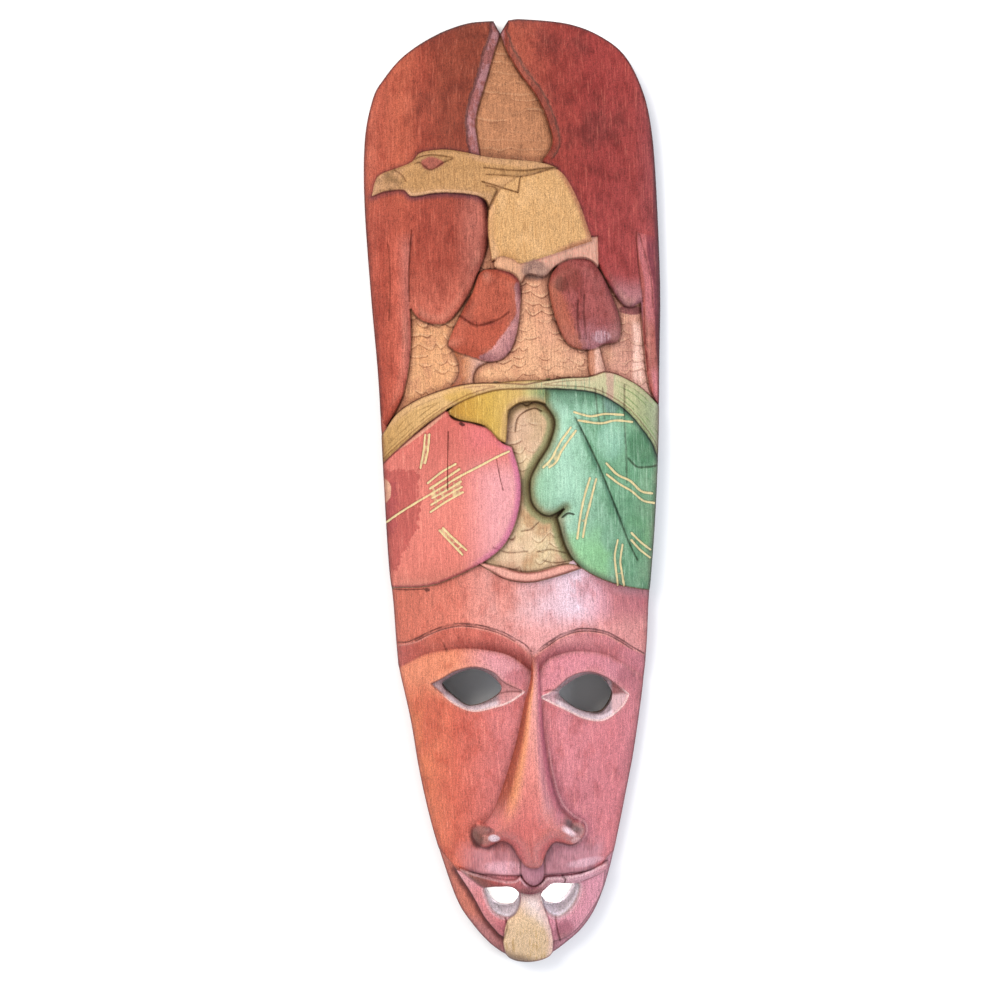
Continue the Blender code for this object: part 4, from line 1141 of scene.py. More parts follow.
def wing_colour(mix):
    """Red-brown stain, rubbed and cloudy, orange on the left and crimson on the right: part stain, part
    painted warm and cool light.
    """
    x, y = mix.x, mix.y
    left = mix.ramp(x, -80, 0, {-77: (186, 104, 82), -68: (174, 88, 66), -58: (184, 98, 72),
                                -46: (158, 74, 54), -34: (138, 66, 46), -14: (136, 66, 46)})
    left.lay((164, 76, 60), y.rise(176, 140) * 0.7)
    left.lay((176, 108, 94), y.rise(166, 150) * x.rise(-32, -20) * 0.75)
    left.lay((116, 60, 44), (mix.cloud + mix.mottle * 0.5).rise(0.74, 0.96) * y.rise(160, 205)
             * x.rise(-60, -40) * 0.5)
    # Darker along the top edge: painted shade where the crown falls away.
    left.lay((116, 50, 38), y.rise(230, 246) * x.rise(-20, -36) * 0.75)
    right = mix.ramp(x, 0, 80, {8: (164, 84, 64), 24: (150, 66, 56), 44: (148, 60, 56), 66: (158, 68, 64),
                                78: (150, 74, 76)})
    right.lay((112, 56, 52), (mix.cloud + mix.mottle * 0.5).rise(0.74, 0.98) * 0.5)
    right.lay((172, 78, 76), y.rise(180, 120) * 0.5)
    wing = mix.over(left, right, x.rise(-4, 4))
    foot = mix.over((212, 126, 104), (160, 88, 92), x.rise(0, 10))
    wing.lay(foot, y.rise(122, 90) * 0.7)
    wing.lay((178, 126, 130), x.rise(46, 56) * y.rise(114, 101) * 0.8)
    wing.lay((128, 82, 92), mix.mark("wings").rise(2.6, 0.6) * x.rise(46, 56) * y.rise(110, 102) * 0.7)
    strip = mix.ramp(x, -78, -54, {-76: (186, 96, 76), -70: (166, 76, 58), -66: (180, 88, 68),
                                   -62: (200, 106, 86), -57: (180, 108, 96)})
    stripe = x - 69 + y.rise(130, 104) * -3.6 + y.rise(85, 45) * -3.5 + mix.drift * 0.8
    light = mix.over((200, 122, 124), (188, 116, 104), y.rise(92, 84))
    light.lay((218, 140, 144), y.rise(66, 58))
    strip.lay((172, 92, 84), x.rise(0, 10))
    strip.lay(mix.over(light, (132, 64, 76), stripe.rise(2.2, 3.6)), stripe.rise(-2.6, -1.2))
    wing.lay(strip, mix.mark("strips").rise(-0.5, 0.5) * y.rise(140, 128) * 0.9)
    wing.lay((124, 62, 74), x.rise(75.6, 78.0) * 0.8)
    wing.tint((255, 238, 236), 0.9)
    wing.tint((180, 128, 122), mix.mottle.rise(0.42, 0.68) * 0.45)
    wing.lay((218, 138, 112), mix.grain.rise(0.52, 0.78) * 0.22)
    # The tear's bevels: on the left, purple painted shade where the bevel faces away from the key light, with
    # a dark line along its top; on the right, a dark red-brown band.
    depth = mix.mark("wings") + mix.drift * 2.4 + (mix.mottle - 0.5) * 3.0
    at_tear = y.rise(166, 176)
    left_side = x.rise(0, -2) * at_tear
    bevel = mix.over((150, 90, 86), (172, 120, 122), (mix.mottle + mix.drift * 0.5).rise(0.46, 0.62))
    wing.lay(bevel, depth.rise(5.9, 4.9) * left_side * 0.94)
    wing.tint((130, 84, 88), (1 - abs(depth - 5.0).rise(0.2, 1.2)) * left_side * 0.8)
    right_side = x.rise(-3, 0) * at_tear
    edge = mix.over((116, 38, 26), (146, 58, 42), (mix.mottle + mix.drift * 0.5).rise(0.44, 0.64))
    wing.lay(edge, depth.rise(4.4, 3.2) * right_side * 0.85)
    wing.tint((120, 66, 62), (1 - abs(depth - 3.6).rise(0.1, 1.0)) * right_side * 0.7)
    # Painted shadow on the wing under the head's lower edge and beak.
    under_beak = mix.wavy("head", 2).rise(-4.0, -0.4) * y.rise(164, 157) * x.rise(-8, -16)
    wing.lay((98, 48, 58), under_beak * 0.75)
    # Painted shade on the wing round the raised head and body, mottled.
    behind = mix.mark("head").most(mix.mark("body")).rise(-3.0, -0.3) * (mix.mottle * 1.2)
    return mix.over(wing, (104, 56, 58), behind * 0.4)


def head_colour(mix):
    x, y = mix.x, mix.y
    depth = mix.mark("head")
    head = mix.over((192, 144, 94), (142, 102, 62), mix.grain.rise(0.46, 0.7) * 0.85)
    head.lay((166, 122, 76), mix.mottle.rise(0.46, 0.66) * 0.7)
    head.lay(mix.over((184, 138, 98), (134, 98, 64), mix.mottle.rise(0.42, 0.6)), x.rise(-55, -61) * 0.85)
    head.lay((150, 108, 66), depth.rise(2.4, 0.6) * y.rise(166, 172) * 0.55)
    head.lay((232, 182, 140), depth.rise(1.9, 0.9) * y.rise(162, 158) * x.rise(-12, -18) * 0.7)
    # Painted highlight on the raised neck flap.
    head.lay((220, 170, 120), mix.patch((-5, 160), (8.5, 3.0), 0.3) * 0.5)
    head.lay((128, 90, 60), mix.mark("bird_eye").rise(-2.4, 0.0) * 0.4)
    return mix.over(head, (158, 82, 70), mix.wavy("bird_eye", 2).rise(-0.9, 0.7) * 0.92)


def add_bird(mix, colour):
    x, y = mix.x, mix.y
    colour = mix.filled(colour, "wings", wing_colour(mix), 0.6)
    fringe = mix.over((226, 176, 152), (196, 134, 116), mix.speckle.rise(0.42, 0.6))
    fringe.lay((206, 154, 116), x.rise(10, 0) * 0.8)
    colour = mix.filled(colour, "fringe", fringe, 0.4)
    body = mix.over((212, 164, 110), (160, 116, 70), mix.grain.rise(0.46, 0.72) * 0.8)
    body.lay((190, 140, 88), mix.mark("body").rise(6, 0.5) * x.rise(12, -4) * 0.8)
    body.lay((222, 176, 126), mix.mottle.rise(0.5, 0.7) * 0.5)
    body.lay((168, 104, 76), mix.wavy("body", 2).rise(3.6, 0.6) * x.rise(20, 30) * 0.8)
    colour = mix.filled(colour, "body", body, 0.15)
    rough = mix.patch((11.5, 114), (6.8, 4.8)) * 0.85
    colour.lay(mix.over((176, 136, 118), (100, 76, 74), mix.speckle.rise(0.44, 0.56)), rough)
    colour = mix.filled(colour, "head", head_colour(mix), 0.45)
    feet = mix.ramp(x + mix.drift * 4, -34, 50, {-32: (160, 92, 58), -28: (176, 108, 72),
                                                 -25: (208, 146, 110), -20: (204, 156, 138),
                                                 38: (174, 110, 84), 41: (194, 130, 102), 43: (236, 184, 162),
                                                 47: (206, 150, 130)})
    feet.lay((150, 104, 104), mix.mottle.rise(0.5, 0.66) * 0.4)
    colour = mix.filled(colour, "feet", feet, 0.5)
    left = mix.over((180, 88, 66), (150, 68, 50), mix.mottle.rise(0.42, 0.66))
    ridge = y + (x + 14) ** 2 * -0.028 - 85.5 + mix.drift * 5
    left.lay((178, 84, 62), ridge.rise(0.3, -0.5) * 0.8)
    left.lay((150, 64, 50), (1 - abs(ridge).rise(0.2, 1.6)) * mix.mottle.rise(0.36, 0.56) * 0.6)
    # The left thigh's lower-right bevel painted lilac, a painted cool light, and painted shade along its
    # upper right edge.
    left.lay(mix.over((208, 146, 144), (180, 124, 126), mix.mottle.rise(0.4, 0.6)),
             mix.wavy("bevel", 2).rise(-0.6, 0.8) * 0.9)
    left.lay((116, 52, 56), mix.mark("thighs").rise(2.6, 0.4) * y.rise(92, 104) * x.rise(-12, -2) * 0.7)
    right = mix.over((162, 84, 80), (134, 60, 56), mix.mottle.rise(0.42, 0.65))
    right.lay((178, 120, 126), (y + mix.drift * 8).rise(90, 77) * 0.7)
    right.lay((124, 62, 64), mix.grain.rise(0.5, 0.58) * y.rise(94, 84) * x.rise(29, 32) * 0.7)
    right.lay((206, 164, 170), mix.patch((45.5, 79), (5, 3.2)) * mix.grain.rise(0.4, 0.5) * 0.7)
    right.lay((170, 90, 66), (x + (y - 95) * 0.36 + mix.drift * 5).rise(31, 25.5) * y.rise(112, 104) * 0.8)
    # Painted shade along the right thigh's right edge.
    right.lay((122, 58, 60), mix.mark("thighs").rise(3.2, 0.6) * x.rise(43, 50) * 0.75)
    right.lay((140, 68, 56), mix.patch((27, 110), (8, 8), 0.7) * 0.6)
    right.lay((96, 44, 36), mix.patch((25, 106), (3.6, 4.2)) * mix.mottle.rise(0.36, 0.5) * 0.7)
    return mix.filled(colour, "thighs", mix.over(left, right, x.rise(8, 12)), 0.65)


def add_roundel(mix, colour):
    """The disc under the bird: a lip of ground, yellow, a pink leaf, a green leaf and the band over them."""
    x, y = mix.x, mix.y
    ring = mix.wavy("green", 1.6).rise(-5.6, -3.4) * y.rise(-42, -36)
    colour.lay(mix.over((150, 148, 104), (108, 102, 56), mix.mark("green").rise(-3.4, -0.6)), ring * 0.9)
    bumps = mix.wavy("yellow", 1.5).rise(-5.2, -1.5) * y.rise(32, 40)
    colour.lay((150, 124, 74), bumps * (0.3 + mix.mottle * 0.8))
    # Painted shadow along the lower edge of the lip of ground, where it stands over the forehead.
    arch = mix.over((226, 158, 144), (150, 76, 72), mix.mark("arch").rise(1.6, 0.3) * y.rise(-40, -43))
    colour = mix.filled(colour, "arch", arch, 0.7)
    gold = mix.ramp(x, -40, 30, {-38: (172, 120, 46), -26: (196, 148, 60), -14: (204, 164, 76),
                                 2: (204, 168, 100), 7: (186, 176, 116), 13: (128, 146, 100)})
    gold.lay((158, 122, 60), mix.mark("yellow").rise(3.0, 0.2) * 0.6)
    gold.lay((234, 202, 120), mix.grain.rise(0.52, 0.74) * 0.5)
    colour = mix.filled(colour, "yellow", gold, 0.5)
    colour = mix.filled(colour, "pink", pink_colour(mix), 0.6)
    line = 0.7 - mix.patch((15, 50), (4, 7)) * 0.7
    colour = mix.filled(colour, "green", green_colour(mix), line)
    depth = mix.wavy("band", 0.8)
    band = mix.ramp(x, -80, 80, {-74: (184, 140, 82), -50: (212, 168, 110), -14: (216, 174, 118),
                                 4: (190, 172, 116), 22: (200, 196, 152), 50: (204, 194, 150),
                                 62: (188, 188, 138), 70: (158, 166, 124), 78: (176, 180, 150)})
    groove = mix.node("ShaderNodeMath", {"operation": "SINE"}, {0: depth * 2.6})
    band.lay((150, 112, 62), groove.rise(0.4, 0.95) * mix.mottle.rise(0.4, 0.6) * x.rise(-20, -46) * 0.7)
    band.lay((118, 142, 84), groove.rise(0.3, 0.95) * mix.mottle.rise(0.35, 0.55) * x.rise(50, 60) * 0.7)
    band.lay((206, 162, 76), mix.patch((-30, 50), (8, 4)) * 0.7)
    streaks = mix.grain.rise(0.5, 0.62) * x.rise(4, 14) * x.rise(60, 46)
    band.lay((112, 146, 112), streaks * 0.75)
    band.lay((198, 158, 138), (abs(x - 49.5) + mix.drift * 2).rise(2.4, 1.4) * 0.8)
    colour = mix.filled(colour, "band", band, 0.8)
    along_edge = 1 - abs(depth - 1.5).rise(0.1, 0.6)
    leaves = mix.mark("pink").most(mix.mark("green")).most(mix.mark("yellow"))
    return mix.tinted(colour, (150, 110, 84), along_edge * leaves.rise(-5.0, -1.0) * 0.6)


def pink_colour(mix):
    x, y = mix.x, mix.y
    pink = mix.ramp(y, -55, 40, {-46: (214, 122, 106), -34: (222, 124, 110), -10: (226, 130, 116),
                                 14: (212, 116, 104), 34: (202, 102, 92)})
    pink.lay((234, 164, 168), x.rise(-34, -10) * y.rise(22, 4) * 0.85)
    pink.lay((226, 120, 124), x.rise(-34, -18) * y.rise(12, 26) * 0.6)
    near = mix.mark("pink") + mix.drift
    # Painted light on the leaf's right rim, magenta, and painted shade along its bottom edge.
    pink.lay((208, 104, 146), near.rise(4.4, 1.0) * (x + y * -0.25).rise(-20, -4) * 0.85)
    pink.lay((150, 58, 70), near.rise(2.0, 0.4) * y.rise(-34, -42) * 0.7)
    pink.lay((234, 172, 146), near.rise(3.0, 2.0) * (y - x * 0.2).rise(26, 32) * x.rise(-36, -42) * 0.8)
    edge = mix.drift * 9 + x + (y + 16).least(0) * -0.55
    spilt = edge.rise(-52, -53) * (y + mix.drift * 6).rise(12.5, 11.5) * (y - mix.drift * 6).rise(-44, -42)
    pink.lay((182, 84, 78), spilt * 0.85)
    deep = (edge + 12).rise(-52, -53) * (y + mix.drift * 5).rise(6, 5) * (y + mix.drift * 8).rise(-24, -22)
    pink.lay((168, 74, 76), deep * 0.6)
    bare = mix.patch((-72, 1), (4.2, 6.5), 0.15) * (0.5 + mix.mottle)
    pink.lay((226, 172, 142), bare)
    return mix.over(pink, (240, 160, 140), mix.grain.rise(0.54, 0.76) * 0.4)


def green_colour(mix):
    x, y = mix.x, mix.y
    green = mix.ramp(x, 0, 80, {8: (140, 184, 148), 24: (172, 214, 186), 40: (148, 192, 160),
                                60: (122, 170, 132), 76: (152, 172, 138)})
    green.lay((92, 144, 106), mix.mottle.rise(0.42, 0.62) * (x + y * 0.3).rise(30, 46) * 0.75)
    rib = x + (y - 36) * 0.43 - 31
    green.lay((108, 160, 120), rib.rise(-0.5, 1.0) * y.rise(34, 10) * 0.4)
    # Painted shade in the groove on the left of the rib.
    beside_rib = rib.rise(-2.8, -0.6) * rib.rise(1.2, 0.2)
    green.lay((70, 114, 88), beside_rib * y.rise(42, 30) * y.rise(-40, -8) * 0.7)
    green.lay((190, 236, 214), mix.patch((49.5, 25), (7, 10), 0.9) * mix.mottle * 0.6)
    green.lay((84, 124, 96), y.rise(39, 50) * 0.85)
    green.lay((74, 124, 86), mix.patch((67, 21), (8, 10)) * 0.8)
    green.lay((104, 128, 124), mix.patch((50, 44), (4, 6)) * 0.6)
    green.lay((198, 226, 200), mix.grain.rise(0.52, 0.74) * 0.4)
    green.lay((152, 214, 140), mix.cloud.rise(0.46, 0.64) * y.rise(-10, -34) * 0.55)
    green.tint((238, 240, 238), y.rise(0, -10))
    halo = mix.wavy("green", 1.5).rise(4.6, 0.2) * x.rise(36, 24)
    green.lay((104, 100, 54), halo * 0.8)
    green.lay((54, 88, 66), mix.mark("band").rise(-3.6, -0.6) * x.rise(12, 20) * 0.8)
    low = mix.mark("green").rise(4.0, 0.3) * y.rise(-14, -24) * x.rise(64, 40)
    return mix.over(green, (84, 96, 74), low * 0.7)


def face_colour(mix):
    """Red stain over the face, orange on the left and rose on the right, part painted warm and cool light,
    with painted shade darkest in the sockets.
    """
    x, y = mix.x, mix.y
    brow, crease, nose = mix.mark("brow"), mix.mark("crease"), mix.mark("nose")
    # The forehead, with a painted lilac-white sheen right of the middle.
    forehead = mix.ramp(x, -70, 70, {-62: (202, 106, 84), -34: (216, 120, 100), -6: (222, 160, 154),
                                     14: (226, 184, 192), 29: (236, 204, 216), 41: (218, 156, 166),
                                     50: (190, 112, 116), 64: (182, 98, 106)})
    # Painted shade under the green leaf's edge.
    forehead.lay((168, 118, 126), mix.mark("green").rise(-7, -1) * x.rise(34, 46) * 0.7)
    forehead.lay((214, 116, 96), mix.cloud.rise(0.48, 0.66) * x.rise(24, -6) * 0.5)
    forehead.lay((208, 136, 146), mix.mottle.rise(0.44, 0.66) * x.rise(8, 30) * 0.4)
    forehead.lay((226, 150, 144), y.rise(-62, -76) * x.rise(-20, 0) * 0.8)
    skin = mix.ramp(x, -70, 70, {-58: (222, 122, 80), -36: (216, 106, 84), -12: (214, 122, 120),
                                 22: (216, 130, 136), 48: (216, 122, 128), 60: (208, 122, 130)})
    skin.lay((196, 86, 66), (mix.cloud + mix.mottle * 0.3).rise(0.6, 0.8) * x.rise(10, -16) * 0.55)
    skin.lay((186, 104, 112), (mix.cloud + mix.mottle * 0.3).rise(0.62, 0.82) * x.rise(4, 16) * 0.5)
    # The lids: lighter where they face up, a painted light, with painted shade in the inner corner by the
    # nose.
    lid = mix.over((224, 134, 100), (210, 140, 146), x.rise(-38, -14))
    lid.lay((210, 130, 140), x.rise(4, 12))
    lid.lay((186, 106, 112), mix.patch((-3.5, -100), (7, 6), 0.6) * 0.8)
    lid.lay((166, 90, 100), mix.patch((58, -102), (8, 7), 0.6) * 0.8)
    skin.lay(lid, y.rise(-114, -98))
    skin = mix.over(forehead, skin, crease.rise(-2, 2))
    roll = mix.ramp(x, -70, 70, {-64: (186, 90, 80), -46: (204, 104, 84), -26: (210, 108, 92),
                                 6: (200, 112, 108), 24: (220, 142, 142), 44: (212, 126, 130),
                                 60: (202, 118, 128)})
    # Painted shade under the brow roll, deepest at the crease, and a painted highlight just under the brow
    # line.
    deep = mix.over((146, 62, 56), (176, 96, 104), x.rise(4, 12))
    roll.lay(deep, (crease + mix.drift * 1.5).rise(-7.5, -1.2) * abs(x - 4).rise(60, 20) * 0.75)
    roll.lay((232, 158, 142), (1 - abs(brow - 1.6).rise(0.2, 1.0)) * 0.45)
    skin.lay(roll, brow.rise(0.2, 2.0) * crease.rise(0.6, -0.6))
    # Painted shade beside the nose's root and along its right side, and a painted highlight on the cheek's
    # edge right of it.
    skin.lay((150, 74, 70), nose.rise(-3.6, -0.2) * y.rise(-122, -100) * x.rise(8, 4) * 0.6)
    skin.lay((176, 100, 116), nose.rise(-7, -1) * x.rise(8, 16) * y.rise(-118, -150) * 0.6)
    skin.lay((236, 168, 172), (1 - abs(nose + 1.3).rise(0.2, 0.9)) * x.rise(9, 13) * y.rise(-124, -140) * 0.6)
    # The moustache: a lilac stipple, made lighter as a painted light where it slopes up to the lip.
    under_nose = (y + mix.drift * 7).rise(-183, -193) * x.rise(-42, -24) * x.rise(44, 37)
    under_nose = under_nose * mix.mark("jaw").rise(-1, -6)
    speckled = mix.speckle * 0.7 + mix.mottle * 0.3
    moustache = mix.over((216, 156, 166), (168, 116, 128), speckled.rise(0.42, 0.58))
    skin.lay(moustache, under_nose * (0.35 + mix.mottle * 0.7))
    by_lip = (mix.mark("lips") + mix.drift * 2 + mix.speckle * 1.5).rise(-3.0, 0.4)
    skin.lay((104, 62, 76), by_lip * abs(x - 2).rise(38, 30) * y.rise(-190, -196) * 0.75)
    # Painted shadow under the nose, and painted highlights along the upper lip.
    skin.lay((120, 70, 80), (nose + mix.drift * 2).rise(-2.6, -0.2) * y.rise(-184, -188) * 0.7)
    skin.lay((246, 200, 212), mix.patch((31, -198.8), (9, 2.2), 0.9) * 0.55)
    skin.lay((244, 190, 204), mix.patch((-12, -199), (10, 3.4), 0.9) * 0.6)
    skin.tint((202, 142, 130), mix.mottle.rise(0.45, 0.75) * 0.45)
    return mix.over(skin, (242, 164, 142), mix.grain.rise(0.56, 0.78) * 0.35)


def add_eyes(mix, colour):
    x, y = mix.x, mix.y
    depth = mix.mark("eyes")
    # The recess: its lower chamfer painted light where it faces up, darker above and deeper in; a painted
    # highlight on the lower lid's edge and painted shade under the upper one.
    lower = (y + 105 + abs(x - 3) * 0.06).rise(2.0, -2.0)
    recess = mix.over((166, 138, 142), (226, 204, 210), lower)
    recess.lay((130, 108, 112), depth.rise(1.4, 2.8) * lower * 0.8)
    recess.lay((214, 138, 136), x.rise(-15, -11) * x.rise(6, 2) * 0.85)
    recess.lay((206, 146, 152), x.rise(7, 9) * x.rise(19, 15) * 0.7)
    recess.lay(mix.over((232, 186, 186), (142, 72, 68), y.rise(-111.5, -109)), x.rise(46, 48) * 0.9)
    recess.lay((168, 110, 110), mix.speckle.rise(0.46, 0.64) * 0.3)
    colour = mix.filled(colour, "eyes", recess, 0.0, 0.3, 0.3)
    rim = 1 - abs(depth + 0.3).rise(0.1, 0.75)
    colour.lay((248, 216, 212), rim * lower * 0.85)
    return mix.over(colour, (104, 58, 62), rim * (1 - lower) * 0.5)


def add_mouth(mix, colour):
    x, y = mix.x, mix.y
    jaw = mix.over((206, 118, 98), (208, 144, 158), x.rise(-20, 20))
    jaw.lay((190, 120, 118), y.rise(-224, -236) * x.rise(0, -14))
    jaw.lay((104, 34, 30), mix.wavy("chin", 2).rise(-4.6, -1.2) * x.rise(10, -10) * 0.9)
    colour = mix.filled(colour, "jaw", jaw, 0.5)
    chin = mix.over((220, 128, 134), (222, 148, 162), x.rise(-10, 20))
    chin.lay((236, 166, 172), y.rise(-216, -206) * x.rise(-10, -22) * 0.8)
    chin.lay((158, 86, 100), mix.patch((19, -237), (5.5, 6.5), 0.6) * 0.75)
    chin.lay((186, 100, 108), y.rise(-222, -236) * x.rise(4, -6) * 0.7)
    chin.lay((244, 200, 208), mix.mark("mouths").rise(-2.2, -0.5) * 0.6)
    colour = mix.filled(colour, "chin", chin, 0.5)
    # The gaps' walls painted almost white: a painted light on walls that stand in shade.
    walls = mix.over((255, 244, 250), (242, 230, 242), mix.speckle.rise(0.4, 0.6))
    walls.lay((180, 130, 132), mix.mark("mouths").rise(0.9, 0.1) * 0.6)
    colour = mix.filled(colour, "mouths", walls, 0.35)
    streaks = mix.grain.rise(0.48, 0.62) * (y + mix.mottle * 8).rise(-224, -234)
    tongue = mix.over((236, 200, 160), (194, 158, 108), streaks)
    # The tongue: a painted highlight on its top, painted shade under the lip and along its lower left edge.
    tongue.lay((248, 222, 216), (y + x * 0.9 + mix.drift * 6).rise(-230, -216))
    tongue.lay((240, 196, 188), mix.mark("tongue").rise(4.0, 0.6) * x.rise(-6, 4) * 0.7)
    tongue.lay((168, 130, 130), y.rise(-218.5, -214.5) * 0.7)
    tongue.lay((112, 84, 72), (y + x * 0.3 + mix.drift).rise(-248, -253) * x.rise(8, -4) * 0.7)
    colour = mix.filled(colour, "tongue", tongue, 0.5)
    side = abs(x - 2)
    lips = mix.ramp(x, -40, 44, {-34: (128, 52, 48), -25: (116, 44, 42), -18: (150, 46, 52),
                                 -7: (186, 90, 98), 1: (138, 78, 88), 10: (168, 112, 124),
                                 20: (196, 148, 160), 34: (206, 146, 162), 42: (196, 124, 138)})
    # Painted shade on the lip's underside, and a painted highlight along its upper edge.
    lips.lay((120, 54, 58), (y + side * side * -0.006).rise(-209.5, -211.5) * x.rise(30, 10) * 0.6)
    upper = (y + side * side * -0.0042).rise(-210.2, -208.0)
    lips.lay((255, 214, 220), mix.wavy("lips", 0.6).rise(1.4, 0.6) * upper * (x.rise(-20, 10) * 0.3 + 0.25))
    colour = mix.filled(colour, "lips", lips, 0.5, inner_line=0.1)
    speckled = mix.speckle * 0.7 + mix.mottle * 0.3
    philtrum = mix.over((206, 142, 154), (166, 104, 118), speckled.rise(0.4, 0.62))
    return mix.filled(colour, "philtrum", philtrum, 0.6, inner_line=0.7)


def add_nose(mix, colour):
    x, y = mix.x, mix.y
    depth = mix.mark("nose")
    side = x - (y * 0.0421 + 9.7)
    flank = ((y + 98) * -0.085 + 1.6).most(1.4)
    flat = mix.ramp(y, -200, -86, {-196: (196, 88, 90), -182: (202, 96, 92), -150: (222, 130, 120),
                                   -110: (226, 152, 148), -92: (196, 112, 106)})
    # The flanks carry painted light and shade: on the left a dark foot under an orange lit band, on the right
    # purple shade, and below, painted shade round the tip.
    left = mix.ramp(depth / flank, 0, 2, {0.0: (154, 64, 46), 0.55: (160, 72, 48), 0.85: (212, 124, 84),
                                          1.05: (232, 146, 104), 1.6: (228, 140, 122)})
    right = mix.ramp(depth / (flank * 0.75), 0, 2, {0.0: (150, 74, 90), 0.5: (188, 100, 114),
                                                    1.0: (196, 116, 126), 1.7: (226, 142, 134)})
    upper = y.rise(-178, -158)
    nose = mix.over(flat, left, side.rise(0.8, -0.8) * upper * (depth / flank).rise(1.9, 1.1))
    nose.lay(right, side.rise(-0.8, 0.8) * y.rise(-182, -168) * (depth / flank).rise(1.5, 0.8))
    nose.lay((134, 62, 58), depth.rise(2.2, 0.2) * (1 - upper) * 0.7)
    nose.lay((198, 92, 80), mix.mottle.rise(0.48, 0.7) * y.rise(-158, -176) * 0.5)
    nose.lay((238, 158, 140), mix.grain.rise(0.56, 0.78) * 0.3)
    root = y.rise(-86, -98)
    colour.lay(mix.filled(colour, "nose", nose, 0.2, 0.3, 0.2), root)
    balls = (mix.mark("nostrils") + mix.drift).rise(-0.4, 1.6) * abs(x - 1).rise(17.0, 21.0)
    colour.lay(mix.over((166, 84, 74), (174, 98, 102), x.rise(-5, 5)), balls * 0.85)
    # Ovals on the nostrils, painted shade and a painted highlight among them.
    for middle, size, tint, share in NOSTRIL_TINTS:
        colour.lay(tint, mix.patch(middle, size, 0.6) * share)
    # A dark slit across the right nostril, and a painted highlight beside it.
    across = (x - 24) * 0.64 + (y + 177.2) * 0.77 + mix.drift
    along = abs((x - 24) * 0.77 + (y + 177.2) * -0.64)
    colour.lay((66, 30, 40), abs(across).rise(2.9, 0.4) * along.rise(8.0, 3.0) * 0.9)
    return mix.over(colour, (250, 218, 226), abs(across + 3.1).rise(2.2, 0.3) * along.rise(6.4, 1.5) * 0.85)


def add_wear(mix, colour, texture, dust):
    """Dust in the hollows, rubbed ridges, the cuts made through the stain, and the grain of the wood."""
    hollow = mix.mark("hollowness")
    colour.tint((138, 88, 82), hollow.rise(0.15, 1.4) * dust)
    colour.lay((240, 190, 164), hollow.rise(-0.3, -1.2) * mix.mottle * dust * 0.7)
    colour.tint((150, 104, 118), mix.wavy("rim", 0.8).rise(1.5, 0.1) * 0.8)
    soft = mix.wavy("soft_cuts", 0.9)
    colour.tint((116, 76, 62), soft.rise(-0.5, 0.5) * (0.15 + mix.mottle * 0.8))
    pale = mix.wavy("pale_cuts", 0.5)
    colour.tint((128, 92, 74), (pale - 0.1).rise(-0.9, -0.1) * mix.mottle * 0.8)
    colour.lay(mix.over((242, 224, 172), (218, 190, 132), mix.speckle.rise(0.45, 0.62)),
               pale.rise(-0.12, 0.2))
    dark = mix.wavy("dark_cuts", 0.5)
    colour.tint((84, 50, 48), dark.rise(-0.25, 0.3) * (0.45 + mix.mottle * 0.6))
    shade = (mix.grain - 0.5) * 0.4 + (mix.fine_grain - 0.5) * 0.45 + (mix.speckle - 0.5) * 0.85
    return mix.scaled(colour, shade * texture + 0.79)


def panel_finish():
    mix = Recipe("stained_panel")
    colour = add_bird(mix, ground_colour(mix))
    band_edge = 1 - abs(mix.mark("band") + mix.drift * 0.5 + 0.3).rise(0.15, 0.95)
    colour.tint(CUT_SHADOW, band_edge * (0.4 + mix.mottle * 1.1) * 0.8)
    return finished(mix, colour, 1.9, 0.15, 0.4)


def roundel_finish():
    mix = Recipe("stained_roundel")
    return finished(mix, add_roundel(mix, bowl_colour(mix)), 1.3, 0.2, 0.4)


def face_finish():
    mix = Recipe("stained_face")
    colour = add_eyes(mix, face_colour(mix))
    colour = add_nose(mix, add_mouth(mix, colour))
    polished = mix.mark("nose").most(mix.mark("nostrils")).rise(-0.5, 1.0) * mix.y.rise(-155, -174)
    polished = polished * mix.x.rise(-24, -18)
    return finished(mix, colour, 1.8, 0.36, 0.25, polished)


def finished(mix, colour, texture, shine, dust, polished=0.0):
    """Wear, bare wood on the hollow side, and the sheen of waxed stain, over what has been laid so far."""
    colour = add_wear(mix, colour, texture, dust)
    inner = mix.mark("inner")
    raw = mix.over((114, 84, 60), (82, 58, 42), mix.grain.rise(0.42, 0.66))
    raw.lay((66, 46, 36), mix.cloud.rise(0.45, 0.7) * 0.6)
    colour = mix.over(colour, raw, inner.rise(0.35, 0.8))
    gloss = (1 - inner) * polished
    roughness = 0.6 - gloss * 0.22 + (mix.mottle - 0.5) * 0.2 + inner * 0.15
    relief = mix.grain * 0.7 + mix.fine_grain * 0.6 + mix.speckle * 0.5
    bump = mix.node("ShaderNodeBump", {}, {"Strength": 0.6, "Distance": 0.0005, "Height": relief})
    coat = gloss * 0.3
    shader = mix.node("ShaderNodeBsdfPrincipled", {}, {"Base Color": colour, "Roughness": roughness,
                                                       "Specular IOR Level": shine, "Coat Weight": coat,
                                                       "Coat Roughness": 0.22, "Normal": bump})
    mix.node("ShaderNodeOutputMaterial", {}, {"Surface": shader})
    return mix.material


def pale_paper():
    mix = Recipe("pale_paper")
    tone = mix.over((250, 250, 250), (246, 246, 246), mix.clouds(300, 300, 1))
    shader = mix.node("ShaderNodeBsdfPrincipled", {}, {"Base Color": tone, "Roughness": 0.9,
                                                       "Specular IOR Level": 0.1})
    mix.node("ShaderNodeOutputMaterial", {}, {"Surface": shader})
    return mix.material


def add_floor(level):
    bpy.ops.mesh.primitive_plane_add(size=8, location=(0, 0, level))
    floor = bpy.context.object
    floor.name = "floor"
    bpy.ops.object.transform_apply(location=True, rotation=True, scale=True)
    floor.data.materials.append(pale_paper())


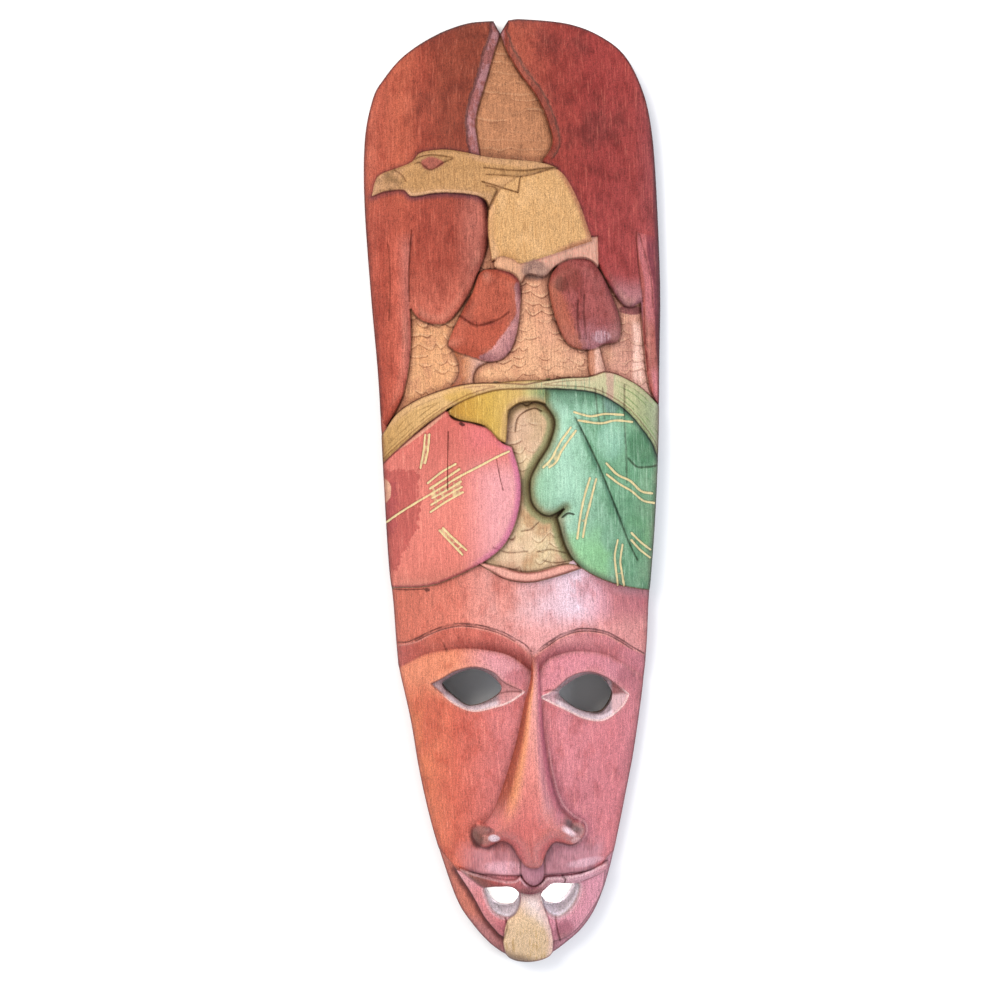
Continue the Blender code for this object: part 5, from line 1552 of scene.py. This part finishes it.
def add_softbox(name, place, aim, size, power, colour):
    light = bpy.data.lights.new(name, "AREA")
    light.shape = "RECTANGLE"
    light.size, light.size_y = size
    light.energy = power
    light.color = colour
    lamp = bpy.data.objects.new(name, light)
    lamp.location = place
    lamp.rotation_euler = (Vector(aim) - Vector(place)).to_track_quat("-Z", "Y").to_euler()
    bpy.context.scene.collection.objects.link(lamp)


def add_studio(middle):
    """A warm key, a cool fill, a small white lamp in the hollow behind the mouth, and a pale sky."""
    behind_mouth = Vector((0.002, -0.2155, 0.0))
    up = Vector((0, 0, 0.0135))
    add_softbox("key", (-0.75, 0.75, 1.2), middle, (0.9, 0.9), power=20, colour=(1.0, 0.95, 0.88))
    add_softbox("fill", (1.1, -0.1, 0.9), middle, (0.7, 0.7), power=8, colour=(0.86, 0.9, 1.0))
    add_softbox("jaw_hollow", behind_mouth + up, behind_mouth, (0.03, 0.012), power=0.012, colour=(1, 1, 1))
    world = bpy.data.worlds.new("studio")
    world.use_nodes = True
    sky = world.node_tree.nodes["Background"]
    sky.inputs["Color"].default_value = (0.92, 0.95, 1.0, 1)
    sky.inputs["Strength"].default_value = 0.85
    bpy.context.scene.world = world
    bpy.context.scene.view_settings.view_transform = "Standard"


def add_camera(middle):
    camera = bpy.data.cameras.new("camera")
    camera.lens = CAMERA_LENS
    camera.sensor_width = CAMERA_SENSOR
    eye = bpy.data.objects.new("camera", camera)
    eye.location = (middle.x - CAMERA_LEFT, middle.y - CAMERA_DOWN, CAMERA_HEIGHT)
    eye.rotation_euler = (0, 0, math.radians(CAMERA_TURN))
    bpy.context.scene.collection.objects.link(eye)
    bpy.context.scene.camera = eye


def fit_into(data, low, high):
    """Sets the mesh exactly into the solid's box, which it misses by a few hundredths of a millimetre."""
    place = np.empty(len(data.vertices) * 3, np.float32)
    data.vertices.foreach_get("co", place)
    place = place.reshape(-1, 3).astype(float)
    own_low, own_size = place.min(axis=0), np.ptp(place, axis=0)
    place = np.array(low) + (place - own_low) / own_size * np.array(high - low)
    data.vertices.foreach_set("co", place.reshape(-1).astype(np.float32))


def main():
    low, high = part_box("mask")
    middle = (low + high) / 2
    bpy.ops.object.select_all(action="DESELECT")
    add_floor(low.z)
    add_camera(middle)
    add_studio(middle)
    data = carved_board()
    fit_into(data, low, high)
    mask = bpy.data.objects.new("carved_mask", data)
    bpy.context.scene.collection.objects.link(mask)
    for finish in (panel_finish(), roundel_finish(), face_finish()):
        data.materials.append(finish)
    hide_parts("mask")
    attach(mask, "root")


main()
